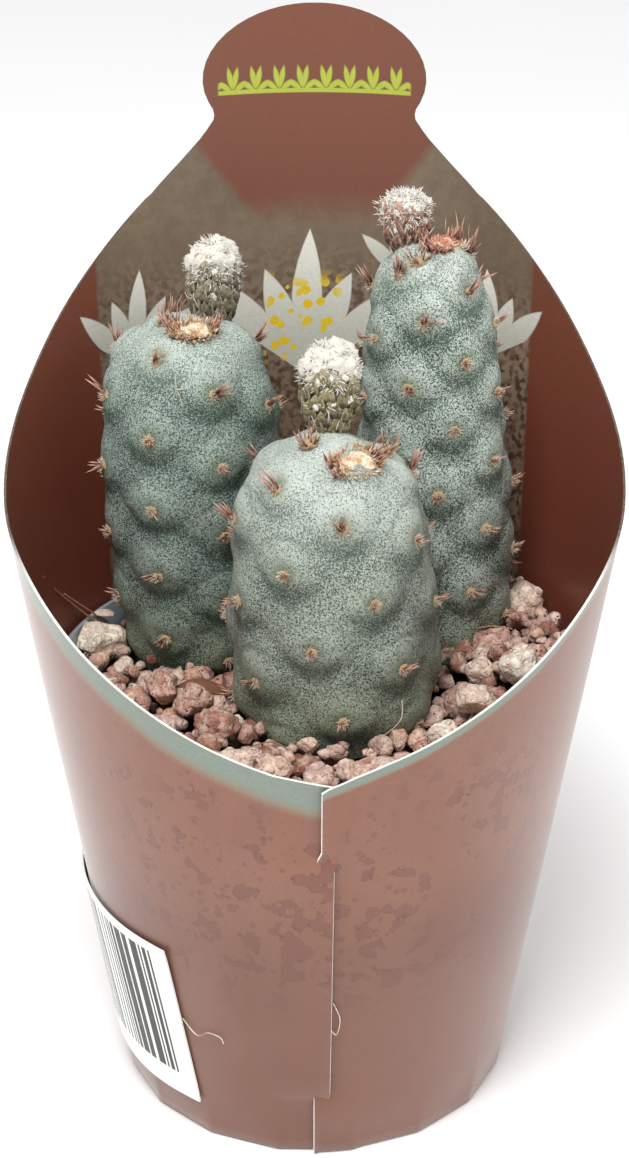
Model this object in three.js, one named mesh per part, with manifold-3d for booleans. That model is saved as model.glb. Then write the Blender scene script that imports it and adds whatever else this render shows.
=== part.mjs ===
// A potted Tephrocactus strobiliformis: three stems with cone-like buds, in a small nursery
// pot topped with lava gravel, held by a tapered card sleeve with a tall head at the back.
// Millimetres, +Z up, front towards -Y, standing on z = 0.

import * as THREE from 'three';
import { mergeVertices } from 'three/addons/utils/BufferGeometryUtils.js';
import loadManifold from 'manifold-3d';

const wasm = await loadManifold();
wasm.setup();

// Driving dimensions of the card sleeve. Azimuths are in degrees from the front seam.
const CARD = 0.5;
const SLEEVE_BASE_RADIUS = 24.4;
const SLEEVE_FLARE = 0.1557;
const SLEEVE_SIDES = 17;
const COLUMNS_PER_SIDE = 2;
const FOLD_HEIGHT = 6;
const TAB_LENGTH = 8;
const TAB_TAPER = 1.1;
const EDGE_AZIMUTHS = [0, 22, 46, 68, 90, 113, 130, 148.2];
const EDGE_HEIGHTS = [57.1, 61.8, 68.2, 74.8, 79.3, 86.7, 94.4, 103.3];
const HEAD_HALF_WIDTH = 14.1;
const HEAD_HALF_HEIGHT = 8.9;
const HEAD_CENTRE = 117;
const HEAD_START = -18.3;
const NECK_POINTS = [[21.35, 103.3], [17.2, 107.1], [13.7, 110.0], [12.6, 112.0]];
const SLEEVE_TOP = 128;

// The seam changes sides twice: each lap gives its edge azimuth, direction and heights.
const LAP_ANGLE = 14;
const SEAM_LAPS = [
  { edge: 1.5, side: 1, low: 48.5, high: 57.1 },
  { edge: 3.9, side: -1, low: 10.7, high: 45.8 },
  { edge: 0, side: 1, low: 0.3, high: 8.6 },
];

// The price-label sized sticker on the left of the sleeve.
const GAP = 0.3;
const LABEL = { right: -35.2, span: 70, low: 5.6, high: 29, lean: 4.4, thickness: 0.25 };

// The nursery pot, from the outside of its floor up.
const POT_STAND = CARD + GAP;
const POT_WALL = 0.8;
const POT_BASE_RADIUS = 22.6;
const POT_SHOULDER_RADIUS = 30.5;
const POT_SHOULDER_HEIGHT = 49.6;
const POT_LIP_RADIUS = 32;
const POT_LIP_TAPER = 0.7;
const POT_RIM_HEIGHT = 55;
const DRAIN_COUNT = 4;
const DRAIN_RADIUS = 2.5;
const DRAIN_CIRCLE = 14;

// Soil and gravel.
const SOIL_TOP = 48.5;
const BED_TOP = 50.4;
const BED_RADIUS = 29.2;
const STONE_RADII = [1.9, 3];
const STONE_COUNT = 58;
const STONE_TRIES = 4000;
const STONE_REACH = 30.6;

// The gravel rises to a heap against the sleeve on the right.
const HEAP_AZIMUTH = 105;
const HEAP_START = 10;
const HEAP_END = 27;
const HEAP_HEIGHT = 5.4;
const HEAP_SPREAD = 0.05;
const BED_RINGS = [BED_RADIUS, 24, 18, 12, 0];

// The stems: place, profile (radius, height) from the top down to the buried foot,
// and the spiral that their tubercles follow. All three lean to the left from LEAN_START up.
const FOOT_RADIUS = 6.8;
const FOOT_BOTTOM = 41.5;
const FOOT_TOP = 48.8;
const STEM_COLUMNS = 28;
const STEM_ROWS = 18;
const LEAN = -0.033;
const LEAN_START = 56;
const RELIEF = 1.15;
const RELIEF_WIDTH = 4.1;
const SINK = 0.35;
const CREASE = 0.18;
const CREASE_DISTANCE = 5.6;
const CREASE_WIDTH = 1.5;
const STEMS = {
  front: {
    x: 2.5,
    y: -4.6,
    girth: 11.9,
    profile: [[0, 87.6], [2.8, 86.9], [5.4, 85.4], [8.1, 83.7], [9.9, 80.6], [11, 76.4], [11.7, 70],
      [12.1, 63], [12, 57.5], [11.6, 54], [10.5, 50.2]],
    spiral: { first: 85.77, angle: 43.9, rise: 1.13, turn: 136.92 },
    bud: { x: 0.05, y: 2.6, radius: 3.7, height: 12.2, lean: 2 },
    crown: { x: 3, y: -4.4, length: 5.8, width: 3.6 },
    seed: 11,
  },
  left: {
    x: -14.3,
    y: 13,
    girth: 11,
    profile: [[0, 94.6], [4.3, 93.9], [7.6, 91.9], [9.4, 88.4], [10.4, 83], [10.9, 76], [10.8, 70],
      [10.3, 62], [9.6, 55], [8.4, 50.2]],
    spiral: { first: 93.45, angle: 200.8, rise: 1.114, turn: 135.04 },
    bud: { x: 3, y: 5.8, radius: 3.5, height: 11.7, lean: 2 },
    crown: { x: 1.1, y: -2.8, length: 5, width: 3.2 },
    seed: 23,
  },
  right: {
    x: 15.2,
    y: 13,
    girth: 9,
    profile: [[0, 104.4], [3, 103.9], [4.9, 102.2], [6.5, 98.6], [7.4, 93.5], [7.9, 88], [8.5, 81],
      [9.2, 73], [9.5, 65], [9.2, 57], [8.5, 50.2]],
    spiral: { first: 104.2, angle: 229.2, rise: 1.009, turn: -136.7 },
    bud: { x: -2.6, y: 1.4, radius: 3.05, height: 7.6, lean: -3 },
    crown: { x: 1.2, y: -0.8, length: 4.2, width: 2.8 },
    seed: 37,
  },
};

// Areoles: a wool pad with short spines, more of them near the top of a stem.
const PAD_RADIUS = 1.05;
const PAD_THICKNESS = 1;
const SPINE_RADIUS = 0.3;
const SPINE_LENGTHS = [2.2, 3.4];
const SPINE_ROOT = 0.9;
const SPINE_CLEARANCE = 2.2;
const SPINES_LOW = 2;
const SPINES_HIGH = 4;
const HIGH_AREOLES = 6;
const LOWEST_AREOLE = 58;

// Buds: a core clad in pointed scales, with a cap of wool.
const BUD_SINK = 0.8;
const WIDEST = 0.55;
const ROUNDNESS = 0.6;
const SCALE_COUNT = 22;
const SCALE_LENGTH = 3.4;
const SCALE_WIDTH = 2.9;
const SCALE_THICKNESS = 0.8;
const CORE_SHARE = 0.67;
const WOOL_SHARE = 0.92;
const WOOL_MIDDLE = 0.25;
const TUFT_COUNT = 11;
const TUFT_RADIUS = 0.9;
const TUFT_LENGTHS = [1.9, 2.5];
const BRISTLE_COUNT = 10;

// Colours, roughness and metalness of each material, by eye.
const FINISHES = {
  card: { color: 0x8a5f52, roughness: 0.5 },
  label: { color: 0xf2f1ee, roughness: 0.6 },
  pot: { color: 0x2c3034, roughness: 0.55 },
  soil: { color: 0x2e2019, roughness: 1 },
  gravel: { color: 0x9a6a5c, roughness: 0.95 },
  stem: { color: 0x7f9a86, roughness: 0.8 },
  bud: { color: 0x6b6446, roughness: 0.85 },
  wool: { color: 0xe9e2d6, roughness: 1 },
  crown: { color: 0xd39a5e, roughness: 0.95 },
};

const GOLDEN_ANGLE = 137.5;
const UP = new THREE.Vector3(0, 0, 1);
const { degToRad, radToDeg, lerp, clamp, mapLinear, smoothstep } = THREE.MathUtils;

// A seeded source of numbers between 0 and 1.
function makeRandom(seed) {
  let state = seed;
  return () => {
    state = (Math.imul(state, 1664525) + 1013904223) >>> 0;
    return state / 4294967296;
  };
}

function cleanTriangles(geometry) {
  const bare = geometry.index ? geometry : mergeVertices(geometry);
  bare.deleteAttribute('normal');
  bare.deleteAttribute('uv');
  const merged = mergeVertices(bare, 1e-4);
  const kept = [];
  const index = merged.index.array;
  for (let i = 0; i < index.length; i += 3) {
    const [a, b, c] = [index[i], index[i + 1], index[i + 2]];
    if (a !== b && b !== c && c !== a) kept.push(a, b, c);
  }
  merged.setIndex(kept);
  return merged;
}

function signedVolume(geometry) {
  const position = geometry.attributes.position;
  const index = geometry.index.array;
  const [a, b, c] = [new THREE.Vector3(), new THREE.Vector3(), new THREE.Vector3()];
  let sum = 0;
  for (let i = 0; i < index.length; i += 3) {
    a.fromBufferAttribute(position, index[i]);
    b.fromBufferAttribute(position, index[i + 1]);
    c.fromBufferAttribute(position, index[i + 2]);
    sum += a.dot(b.cross(c)) / 6;
  }
  return sum;
}

// A closed geometry as a solid, its faces turned outwards.
function toSolid(geometry) {
  const clean = cleanTriangles(geometry);
  const triVerts = Uint32Array.from(clean.index.array);
  if (signedVolume(clean) < 0) triVerts.reverse();
  const vertProperties = Float32Array.from(clean.attributes.position.array);
  return new wasm.Manifold(new wasm.Mesh({ numProp: 3, vertProperties, triVerts }));
}

function union(solids) {
  return solids.reduce((whole, part) => whole.add(part));
}

// The biggest connected piece, without the scraps that a cut can leave.
function mainPiece(solid) {
  return solid.decompose().sort((a, b) => b.volume() - a.volume())[0];
}

function toMesh(name, solid, finish) {
  const mesh = mainPiece(solid).getMesh();
  const geometry = new THREE.BufferGeometry();
  geometry.setAttribute('position', new THREE.BufferAttribute(mesh.vertProperties, 3));
  geometry.setIndex(new THREE.BufferAttribute(mesh.triVerts, 1));
  geometry.computeVertexNormals();
  const material = new THREE.MeshStandardMaterial({ metalness: 0, ...FINISHES[finish] });
  const result = new THREE.Mesh(geometry, material);
  result.name = name;
  return result;
}

// Applies a function to every corner of a geometry.
function mapPoints(geometry, change) {
  const position = geometry.attributes.position;
  const point = new THREE.Vector3();
  for (let i = 0; i < position.count; i += 1) {
    point.fromBufferAttribute(position, i);
    change(point);
    position.setXYZ(i, point.x, point.y, point.z);
  }
  return geometry;
}

// A turned solid standing on +Z, from points of radius and height.
function turned(points, columns) {
  const profile = points.map(([radius, height]) => new THREE.Vector2(radius, height));
  return new THREE.LatheGeometry(profile, columns).rotateX(Math.PI / 2);
}

function polar(azimuth, radius, z) {
  const angle = degToRad(azimuth);
  return new THREE.Vector3(radius * Math.sin(angle), -radius * Math.cos(angle), z);
}

function azimuthOf(point) {
  return radToDeg(Math.atan2(point.x, -point.y));
}

// The sleeve's outer radius: a cone, drawn in to a polygon at the folds of its base.
function sleeveRadius(azimuth, z) {
  const cone = SLEEVE_BASE_RADIUS + z * SLEEVE_FLARE;
  const side = 360 / SLEEVE_SIDES;
  const fromMiddle = azimuth - side * Math.round(azimuth / side);
  const flat = Math.cos(degToRad(side / 2)) / Math.cos(degToRad(fromMiddle));
  return cone * lerp(flat, 1, clamp(z / FOLD_HEIGHT, 0, 1));
}

const edgeCurve = new THREE.CubicInterpolant(EDGE_AZIMUTHS, EDGE_HEIGHTS, 1);

function edgeHeight(azimuth) {
  const away = Math.abs(azimuth);
  if (away > EDGE_AZIMUTHS.at(-1) + 0.5) return SLEEVE_TOP;
  return edgeCurve.evaluate(Math.min(away, EDGE_AZIMUTHS.at(-1)))[0];
}

function sleeveWall() {
  const rows = [0, 1, 2];
  const outer = rows.map((row) => [2, row]);
  const inner = rows.map((row) => [1, row]).reverse();
  const ring = turned([...outer, ...inner, outer[0]], SLEEVE_SIDES * COLUMNS_PER_SIDE);
  return toSolid(mapPoints(ring, (point) => {
    const azimuth = azimuthOf(point);
    const inside = Math.hypot(point.x, point.y) < 1.5;
    const row = Math.round(point.z);
    const z = [0, FOLD_HEIGHT, edgeHeight(azimuth)][row];
    const radius = sleeveRadius(azimuth, z) - (inside ? CARD : 0);
    point.copy(polar(azimuth, radius, z));
  }));
}

// What is cut away beside the neck and the oval head, seen from the front.
function headCutter(side) {
  const [start, ...neck] = NECK_POINTS.map(([x, z]) => new THREE.Vector2(x, z));
  const begin = degToRad(HEAD_START);
  const join = new THREE.Vector2(
    HEAD_HALF_WIDTH * Math.cos(begin),
    HEAD_CENTRE + HEAD_HALF_HEIGHT * Math.sin(begin),
  );
  const outline = new THREE.Shape();
  outline.moveTo(start.x, start.y);
  outline.splineThru([...neck, join]);
  outline.absellipse(0, HEAD_CENTRE, HEAD_HALF_WIDTH, HEAD_HALF_HEIGHT, begin, Math.PI / 2);
  outline.lineTo(0, SLEEVE_TOP + 5);
  outline.lineTo(start.x + 9, SLEEVE_TOP + 5);
  outline.lineTo(start.x + 9, start.y);
  const options = { depth: 40, bevelEnabled: false, curveSegments: 10 };
  const block = new THREE.ExtrudeGeometry(outline, options);
  return toSolid(block.rotateX(Math.PI / 2).translate(0, 60, 0).scale(side, 1, 1));
}

function baseTab(index) {
  const side = 360 / SLEEVE_SIDES;
  const apothem = SLEEVE_BASE_RADIUS * Math.cos(degToRad(side / 2)) - CARD / 2;
  const half = apothem * Math.tan(degToRad(side / 2));
  const inner = apothem - TAB_LENGTH;
  const innerHalf = inner * Math.tan(degToRad(side / 2)) - TAB_TAPER;
  const outline = new THREE.Shape([
    new THREE.Vector2(-half, -apothem),
    new THREE.Vector2(half, -apothem),
    new THREE.Vector2(innerHalf, -inner),
    new THREE.Vector2(-innerHalf, -inner),
  ]);
  const tab = new THREE.ExtrudeGeometry(outline, { depth: CARD, bevelEnabled: false });
  return toSolid(tab.rotateZ(degToRad(index * side)));
}

// One lap of the seam: full card thickness at its edge, fading out under the sheet beside it.
function seamLap({ edge, side, low, high }) {
  const strip = new THREE.BoxGeometry(1, 1, 1, 4, 1, 1);
  return toSolid(mapPoints(strip, (point) => {
    const along = point.x + 0.5;
    const azimuth = edge + side * along * LAP_ANGLE;
    const top = Math.min(high, edgeHeight(azimuth) - 0.2);
    const z = point.y > 0 ? top : low;
    const raised = point.z > 0 ? CARD * (1 - along) + 0.02 : -CARD / 2;
    point.copy(polar(azimuth, sleeveRadius(azimuth, z) + raised, z));
  }));
}

function makeSleeve() {
  const wall = sleeveWall().subtract(headCutter(1)).subtract(headCutter(-1));
  const tabs = Array.from({ length: SLEEVE_SIDES }, (_, index) => baseTab(index));
  return toMesh('sleeve', union([wall, ...tabs, ...SEAM_LAPS.map(seamLap)]), 'card');
}

function makeLabel() {
  const sheet = new THREE.BoxGeometry(1, 1, 1, 14, 1, 1);
  return toMesh('label', toSolid(mapPoints(sheet, (point) => {
    const along = 0.5 - point.x;
    const up = point.y + 0.5;
    const azimuth = LABEL.right - along * LABEL.span - up * LABEL.lean + LABEL.lean / 2;
    const z = lerp(LABEL.low, LABEL.high, up);
    const lift = GAP + (point.z + 0.5) * LABEL.thickness;
    point.copy(polar(azimuth, sleeveRadius(azimuth, z) + lift, z));
  })), 'label');
}

function potInnerRadius(z) {
  const low = POT_STAND;
  const radius = mapLinear(z, low, POT_SHOULDER_HEIGHT, POT_BASE_RADIUS, POT_SHOULDER_RADIUS);
  return radius - POT_WALL;
}

function makePot() {
  const floor = POT_STAND + POT_WALL;
  const outer = [
    [0, POT_STAND],
    [POT_BASE_RADIUS, POT_STAND],
    [POT_SHOULDER_RADIUS, POT_SHOULDER_HEIGHT],
    [POT_LIP_RADIUS - POT_LIP_TAPER, POT_SHOULDER_HEIGHT],
    [POT_LIP_RADIUS, POT_RIM_HEIGHT - 0.4],
    [POT_LIP_RADIUS - 0.3, POT_RIM_HEIGHT],
  ];
  const inner = [
    [POT_LIP_RADIUS - POT_WALL, POT_RIM_HEIGHT],
    [POT_LIP_RADIUS - POT_WALL - POT_LIP_TAPER, POT_SHOULDER_HEIGHT + POT_WALL],
    [potInnerRadius(POT_SHOULDER_HEIGHT), POT_SHOULDER_HEIGHT],
    [potInnerRadius(floor), floor],
    [0, floor],
  ];
  const body = toSolid(turned([...outer, ...inner], 36));
  const drains = Array.from({ length: DRAIN_COUNT }, (_, index) => {
    const hole = new THREE.CylinderGeometry(DRAIN_RADIUS, DRAIN_RADIUS, 4, 8);
    const place = polar((index * 360) / DRAIN_COUNT, DRAIN_CIRCLE, POT_STAND);
    return toSolid(hole.rotateX(Math.PI / 2).translate(place.x, place.y, place.z));
  });
  return toMesh('pot', body.subtract(union(drains)), 'pot');
}

function footHoles(bottom) {
  return Object.values(STEMS).map(({ x, y }) => {
    const height = SLEEVE_TOP - bottom;
    const hole = new THREE.CylinderGeometry(FOOT_RADIUS + GAP, FOOT_RADIUS + GAP, height, 24);
    return toSolid(hole.rotateX(Math.PI / 2).translate(x, y, bottom + height / 2));
  });
}

function makeSoil() {
  const bottom = POT_STAND + POT_WALL + GAP;
  const body = turned([
    [0, bottom],
    [potInnerRadius(bottom) - GAP, bottom],
    [potInnerRadius(SOIL_TOP) - GAP, SOIL_TOP],
    [0, SOIL_TOP],
  ], 36);
  const holes = footHoles(FOOT_BOTTOM - GAP);
  return toMesh('soil', toSolid(body).subtract(union(holes)), 'soil');
}

// How high the gravel is heaped at a place, as a share of the heap's full height.
function heaped(place) {
  const along = polar(HEAP_AZIMUTH, 1, 0).dot(new THREE.Vector3(place.x, place.y, 0));
  return smoothstep(along, HEAP_START, HEAP_END);
}

// The gravel stones: seeded places that keep clear of the stems and of one another.
function stonePlaces() {
  const random = makeRandom(5);
  const places = [];
  for (let tries = 0; tries < STONE_TRIES && places.length < STONE_COUNT; tries += 1) {
    const radius = lerp(...STONE_RADII, random());
    const azimuth = random() * 360;
    const distance = Math.sqrt(random()) * (STONE_REACH - radius);
    const spot = polar(azimuth, distance, BED_TOP + radius * lerp(0.35, 0.75, random()));
    const share = heaped(spot);
    spot.x *= 1 + share * HEAP_SPREAD;
    spot.z += share * HEAP_HEIGHT;
    const free = places.every((other) => {
      const room = 0.9 * (other.radius + radius);
      return Math.hypot(other.spot.x - spot.x, other.spot.y - spot.y) > room;
    });
    const beside = Object.values(STEMS).every(({ x, y, profile }) => {
      const reach = profile.at(-2)[0] + 0.62 * radius;
      return Math.hypot(x - spot.x, y - spot.y) > reach;
    });
    if (free && beside) places.push({ spot, radius, seed: 1 + tries });
  }
  return places;
}

function stone({ spot, radius, seed }) {
  const random = makeRandom(seed);
  const rock = new THREE.IcosahedronGeometry(radius, 0);
  const merged = cleanTriangles(rock);
  mapPoints(merged, (point) => point.multiplyScalar(lerp(0.8, 1.16, random())));
  merged.scale(lerp(0.85, 1.2, random()), lerp(0.85, 1.1, random()), lerp(0.75, 1, random()));
  merged.rotateX(random() * Math.PI).rotateZ(random() * Math.PI);
  return toSolid(merged.translate(spot.x, spot.y, spot.z));
}

// The space that the gravel may fill: above the soil, inside the pot's wall and lip, and
// over the rim as far as the sleeve.
function gravelRoom() {
  const shoulder = potInnerRadius(POT_SHOULDER_HEIGHT) - GAP;
  const lip = POT_LIP_RADIUS - POT_WALL - GAP;
  const overRim = POT_RIM_HEIGHT + GAP;
  const besideSleeve = (z) => [SLEEVE_BASE_RADIUS + z * SLEEVE_FLARE - CARD - 2 * GAP, z];
  return toSolid(turned([
    [0, SOIL_TOP + GAP],
    [BED_RADIUS, SOIL_TOP + GAP],
    [shoulder, POT_SHOULDER_HEIGHT],
    [lip - POT_LIP_TAPER, POT_SHOULDER_HEIGHT + 2 * POT_WALL],
    [lip, overRim],
    besideSleeve(overRim),
    besideSleeve(overRim + 10),
    [0, overRim + 10],
  ], 36));
}

function makeGravel(stemRoom) {
  const low = SOIL_TOP + GAP;
  const top = BED_RINGS.map((radius) => [radius, BED_TOP]);
  const plate = toSolid(mapPoints(turned([[0, low], [BED_RADIUS, low], ...top], 26), (point) => {
    if (point.z > low + GAP) point.z += heaped(point) * HEAP_HEIGHT;
  }));
  const heap = union([plate, ...stonePlaces().map(stone)]).intersect(gravelRoom());
  return toMesh('gravel', heap.subtract(union(stemRoom)), 'gravel');
}

// How far a stem has leaned over at a height.
function leanAt(z) {
  return LEAN * Math.max(0, z - LEAN_START);
}

// The places of a stem's tubercles, from the top down, on a spiral.
function tubercles({ profile, spiral }) {
  const places = [];
  for (let z = spiral.first; z > profile.at(-1)[1]; z -= spiral.rise) {
    places.push({ azimuth: spiral.angle + places.length * spiral.turn, z });
  }
  return places;
}

function stemCurve({ profile }) {
  const buried = [[FOOT_RADIUS, FOOT_TOP], [FOOT_RADIUS, FOOT_BOTTOM]];
  const points = profile.map(([radius, z]) => new THREE.Vector2(radius, z));
  const above = new THREE.SplineCurve(points).getSpacedPoints(STEM_ROWS);
  above[0].x = 0;
  return [...above, ...buried.map(([radius, z]) => new THREE.Vector2(radius, z))];
}

// The radius of a stem's smooth outline at a height.
function outlineRadius(curve, z) {
  const next = Math.max(1, curve.findIndex((point) => point.y <= z));
  const [above, below] = [curve[next - 1], curve[next]];
  return mapLinear(z, above.y, below.y, above.x, below.x);
}

// The height of a stem's smooth outline above a place, from the stem's middle.
function outlineHeight(stem, { x, y }) {
  const curve = stemCurve(stem);
  const away = Math.hypot(x, y);
  const next = curve.findIndex((point) => point.x > away);
  const [inner, outer] = [curve[next - 1], curve[next]];
  return mapLinear(away, inner.x, outer.x, inner.y, outer.y);
}

// How far the surface stands out at a point: a low bump under each areole, with a shallow
// arched crease above it.
function relief(spots, point) {
  let height = 0;
  spots.forEach((spot) => {
    const distance = point.distanceTo(spot);
    if (distance > 3 * RELIEF_WIDTH) return;
    height = Math.max(height, RELIEF * Math.exp(-((distance / RELIEF_WIDTH) ** 2)));
    const ring = Math.exp(-(((distance - CREASE_DISTANCE) / CREASE_WIDTH) ** 2));
    const over = clamp((point.z - spot.z) / CREASE_DISTANCE, 0, 1);
    height -= CREASE * ring * over * 0.4;
  });
  return height;
}

// Presses a point of a stem back behind the plane where its neighbour's side begins.
function pressBack(point, stem) {
  Object.values(STEMS).filter((other) => other !== stem).forEach((other) => {
    const away = new THREE.Vector2(other.x - stem.x, other.y - stem.y);
    const share = stem.girth / (stem.girth + other.girth);
    const limit = away.length() * share - GAP / 2;
    away.normalize();
    const over = point.x * away.x + point.y * away.y - limit;
    if (over <= 0) return;
    point.x -= over * away.x;
    point.y -= over * away.y;
  });
}

function stemGeometry(stem, extra) {
  const curve = stemCurve(stem);
  const spots = tubercles(stem).map(({ azimuth, z }) => (
    polar(azimuth, outlineRadius(curve, z), z)
  ));
  const rows = curve.map((point) => [point.x, point.y]);
  const body = turned([...rows, [0, FOOT_BOTTOM]], STEM_COLUMNS);
  return mapPoints(body, (point) => {
    const radius = Math.hypot(point.x, point.y);
    const grows = clamp((point.z - FOOT_TOP) / 4, 0, 1);
    const lift = (relief(spots, point) - SINK) * grows + extra;
    const slope = clamp(radius / FOOT_RADIUS, 0, 1);
    const wide = radius < 1e-6 ? 0 : 1 + (lift * slope) / radius;
    point.x *= wide;
    point.y *= wide;
    point.z += lift * (1 - slope) - (point.z < FOOT_BOTTOM + 1 ? extra : 0);
    pressBack(point, stem);
    point.x += leanAt(point.z);
  }).translate(stem.x, stem.y, 0);
}

// A slim needle or flat scale that points along a direction from its root.
function spike(root, direction, radius, length, sides, flat = 1) {
  const cone = new THREE.ConeGeometry(radius, length, sides).rotateX(Math.PI / 2);
  cone.scale(1, flat, 1).translate(0, 0, length / 2);
  const across = new THREE.Vector3().crossVectors(UP, direction).normalize();
  const over = new THREE.Vector3().crossVectors(direction, across);
  const turn = new THREE.Matrix4().makeBasis(across, over, direction);
  return toSolid(cone.applyMatrix4(turn.setPosition(root)));
}

// A direction leaning from a normal by a share to the side and upwards.
function leaning(normal, sideways, upwards) {
  const across = new THREE.Vector3().crossVectors(UP, normal).normalize();
  const over = new THREE.Vector3().crossVectors(normal, across).normalize();
  return normal.clone().addScaledVector(across, sideways)
    .addScaledVector(over, upwards).normalize();
}

function pad(centre, normal) {
  const cushion = new THREE.ConeGeometry(PAD_RADIUS, PAD_THICKNESS, 5).rotateX(Math.PI / 2);
  const turn = new THREE.Quaternion().setFromUnitVectors(UP, normal);
  cushion.applyQuaternion(turn).translate(centre.x, centre.y, centre.z);
  return toSolid(cushion);
}

// The areoles that show: outside the bud and the crown, above the gravel, and with room
// for their spines beside the other stems and the sleeve.
function areoles(stem) {
  const curve = stemCurve(stem);
  const { bud, crown } = stem;
  return tubercles(stem).map(({ azimuth, z }, index) => {
    const radius = outlineRadius(curve, z);
    const spot = polar(azimuth, radius + RELIEF - SINK, z);
    const slope = outlineRadius(curve, z + 0.5) - outlineRadius(curve, z - 0.5);
    const normal = polar(azimuth, 1, -slope).normalize();
    return { index, spot, normal };
  }).filter(({ spot }) => {
    const clearBud = Math.hypot(spot.x - bud.x, spot.y - bud.y) > bud.radius + 2.2;
    const clearCrown = Math.hypot(spot.x - crown.x, spot.y - crown.y) > crown.length / 2 + 1.6;
    return spot.z > LOWEST_AREOLE && clearBud && clearCrown;
  });
}

// Whether a spine's tip stays clear of the other stems and of the sleeve.
function hasRoom(stem, tip) {
  const over = leanAt(tip.z);
  const whole = tip.clone().add(new THREE.Vector3(stem.x + over, stem.y, 0));
  const others = Object.values(STEMS).filter((other) => other !== stem);
  const beside = others.every((other) => {
    if (whole.z > other.profile[0][1] + SPINE_CLEARANCE) return true;
    const away = Math.hypot(whole.x - other.x - over, whole.y - other.y);
    return away > other.girth + SPINE_CLEARANCE;
  });
  return beside && Math.hypot(whole.x, whole.y) < sleeveRadius(0, whole.z) - CARD - 0.6;
}

function makeStem(name, stem) {
  const random = makeRandom(stem.seed);
  const solids = [toSolid(stemGeometry(stem, 0))];
  areoles(stem).forEach(({ index, spot, normal }) => {
    const count = index < HIGH_AREOLES ? SPINES_HIGH : SPINES_LOW;
    const root = spot.clone().addScaledVector(normal, -SPINE_ROOT);
    const spikes = [];
    for (let i = 0; i < count; i += 1) {
      const around = (i / count + 0.2 * random()) * 2 * Math.PI;
      const spread = lerp(0.45, 0.8, random());
      const way = leaning(normal, spread * Math.cos(around), spread * Math.sin(around));
      const length = lerp(...SPINE_LENGTHS, random()) + SPINE_ROOT;
      if (hasRoom(stem, root.clone().addScaledVector(way, length))) {
        spikes.push(spike(root, way, SPINE_RADIUS, length, 3));
      }
    }
    const cushion = pad(spot.clone().addScaledVector(normal, -0.1), normal);
    const place = [stem.x + leanAt(spot.z), stem.y, 0];
    const fitted = [cushion, ...spikes].map((solid) => solid.translate(place));
    if (hasRoom(stem, spot.clone().addScaledVector(normal, PAD_THICKNESS))) solids.push(...fitted);
  });
  return toMesh(`stem_${name}`, union(solids), 'stem');
}

// A bud's outline radius, from its narrow foot to its round top.
function budRadius({ radius, height }, z) {
  const share = clamp(z / height, 0, 1);
  const round = Math.sqrt(Math.max(0, 1 - ((share - WIDEST) / ROUNDNESS) ** 2));
  return radius * round;
}

function budPlace({ lean, x, y }, stem, foot) {
  const turn = new THREE.Matrix4().makeRotationY(degToRad(lean));
  return turn.setPosition(stem.x + x + leanAt(foot), stem.y + y, foot);
}

// A bud stands sunk into the top of its stem.
function budFoot(stem) {
  return outlineHeight(stem, stem.bud) - BUD_SINK;
}

function makeBud(name, stem, stemRoom) {
  const { bud } = stem;
  const heights = [0, 0.12, 0.28, 0.45, 0.6, CORE_SHARE].map((share) => share * bud.height);
  const wall = heights.map((z) => [budRadius(bud, z) * 0.84, z]);
  const solids = [toSolid(turned([[0, 0], ...wall, [0, wall.at(-1)[1]]], 12))];
  for (let i = 0; i < SCALE_COUNT; i += 1) {
    const share = (i + 0.5) / SCALE_COUNT;
    const z = bud.height * lerp(0.06, CORE_SHARE - 0.12, share);
    const azimuth = i * GOLDEN_ANGLE;
    const root = polar(azimuth, budRadius(bud, z) * 0.84 - SCALE_THICKNESS * 0.35, z - 0.3);
    const outward = polar(azimuth, 1, 0);
    const rising = new THREE.Vector3(0, 0, lerp(1.5, 2.6, share));
    const way = outward.add(rising).normalize();
    const flat = SCALE_THICKNESS / SCALE_WIDTH;
    solids.push(spike(root, way, SCALE_WIDTH / 2, SCALE_LENGTH, 3, flat));
  }
  const place = budPlace(bud, stem, budFoot(stem)).toArray();
  const whole = union(solids).transform(place);
  return toMesh(`bud_${name}`, whole.subtract(stemRoom), 'bud');
}

// The wool cap on a bud: a lumpy dome with short tufts round its edge.
function makeWool(name, stem) {
  const { bud } = stem;
  const random = makeRandom(stem.seed + 100);
  const low = bud.height * CORE_SHARE + GAP;
  const middle = low + (bud.height - low) * WOOL_MIDDLE;
  const dome = cleanTriangles(new THREE.IcosahedronGeometry(1, 2));
  mapPoints(dome, (point) => point.multiplyScalar(lerp(0.92, 1.12, random())));
  dome.scale(bud.radius * WOOL_SHARE, bud.radius * WOOL_SHARE, bud.height - middle);
  const solids = [toSolid(dome.translate(0, 0, middle))];
  for (let i = 0; i < TUFT_COUNT; i += 1) {
    const z = lerp(low + 0.4, bud.height - 1.2, ((i + 0.5) / TUFT_COUNT) ** 1.6);
    const azimuth = i * GOLDEN_ANGLE;
    const root = polar(azimuth, budRadius(bud, z) * 0.62, z - 0.4);
    const way = polar(azimuth, 1, lerp(0.2, 1, random())).normalize();
    solids.push(spike(root, way, TUFT_RADIUS, lerp(...TUFT_LENGTHS, random()), 4));
  }
  const room = new THREE.CylinderGeometry(9, 9, 9, 12).rotateX(Math.PI / 2);
  const below = toSolid(room.translate(0, 0, low - 4.5));
  const place = budPlace(bud, stem, budFoot(stem)).toArray();
  return toMesh(`wool_${name}`, union(solids).subtract(below).transform(place), 'wool');
}

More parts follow.
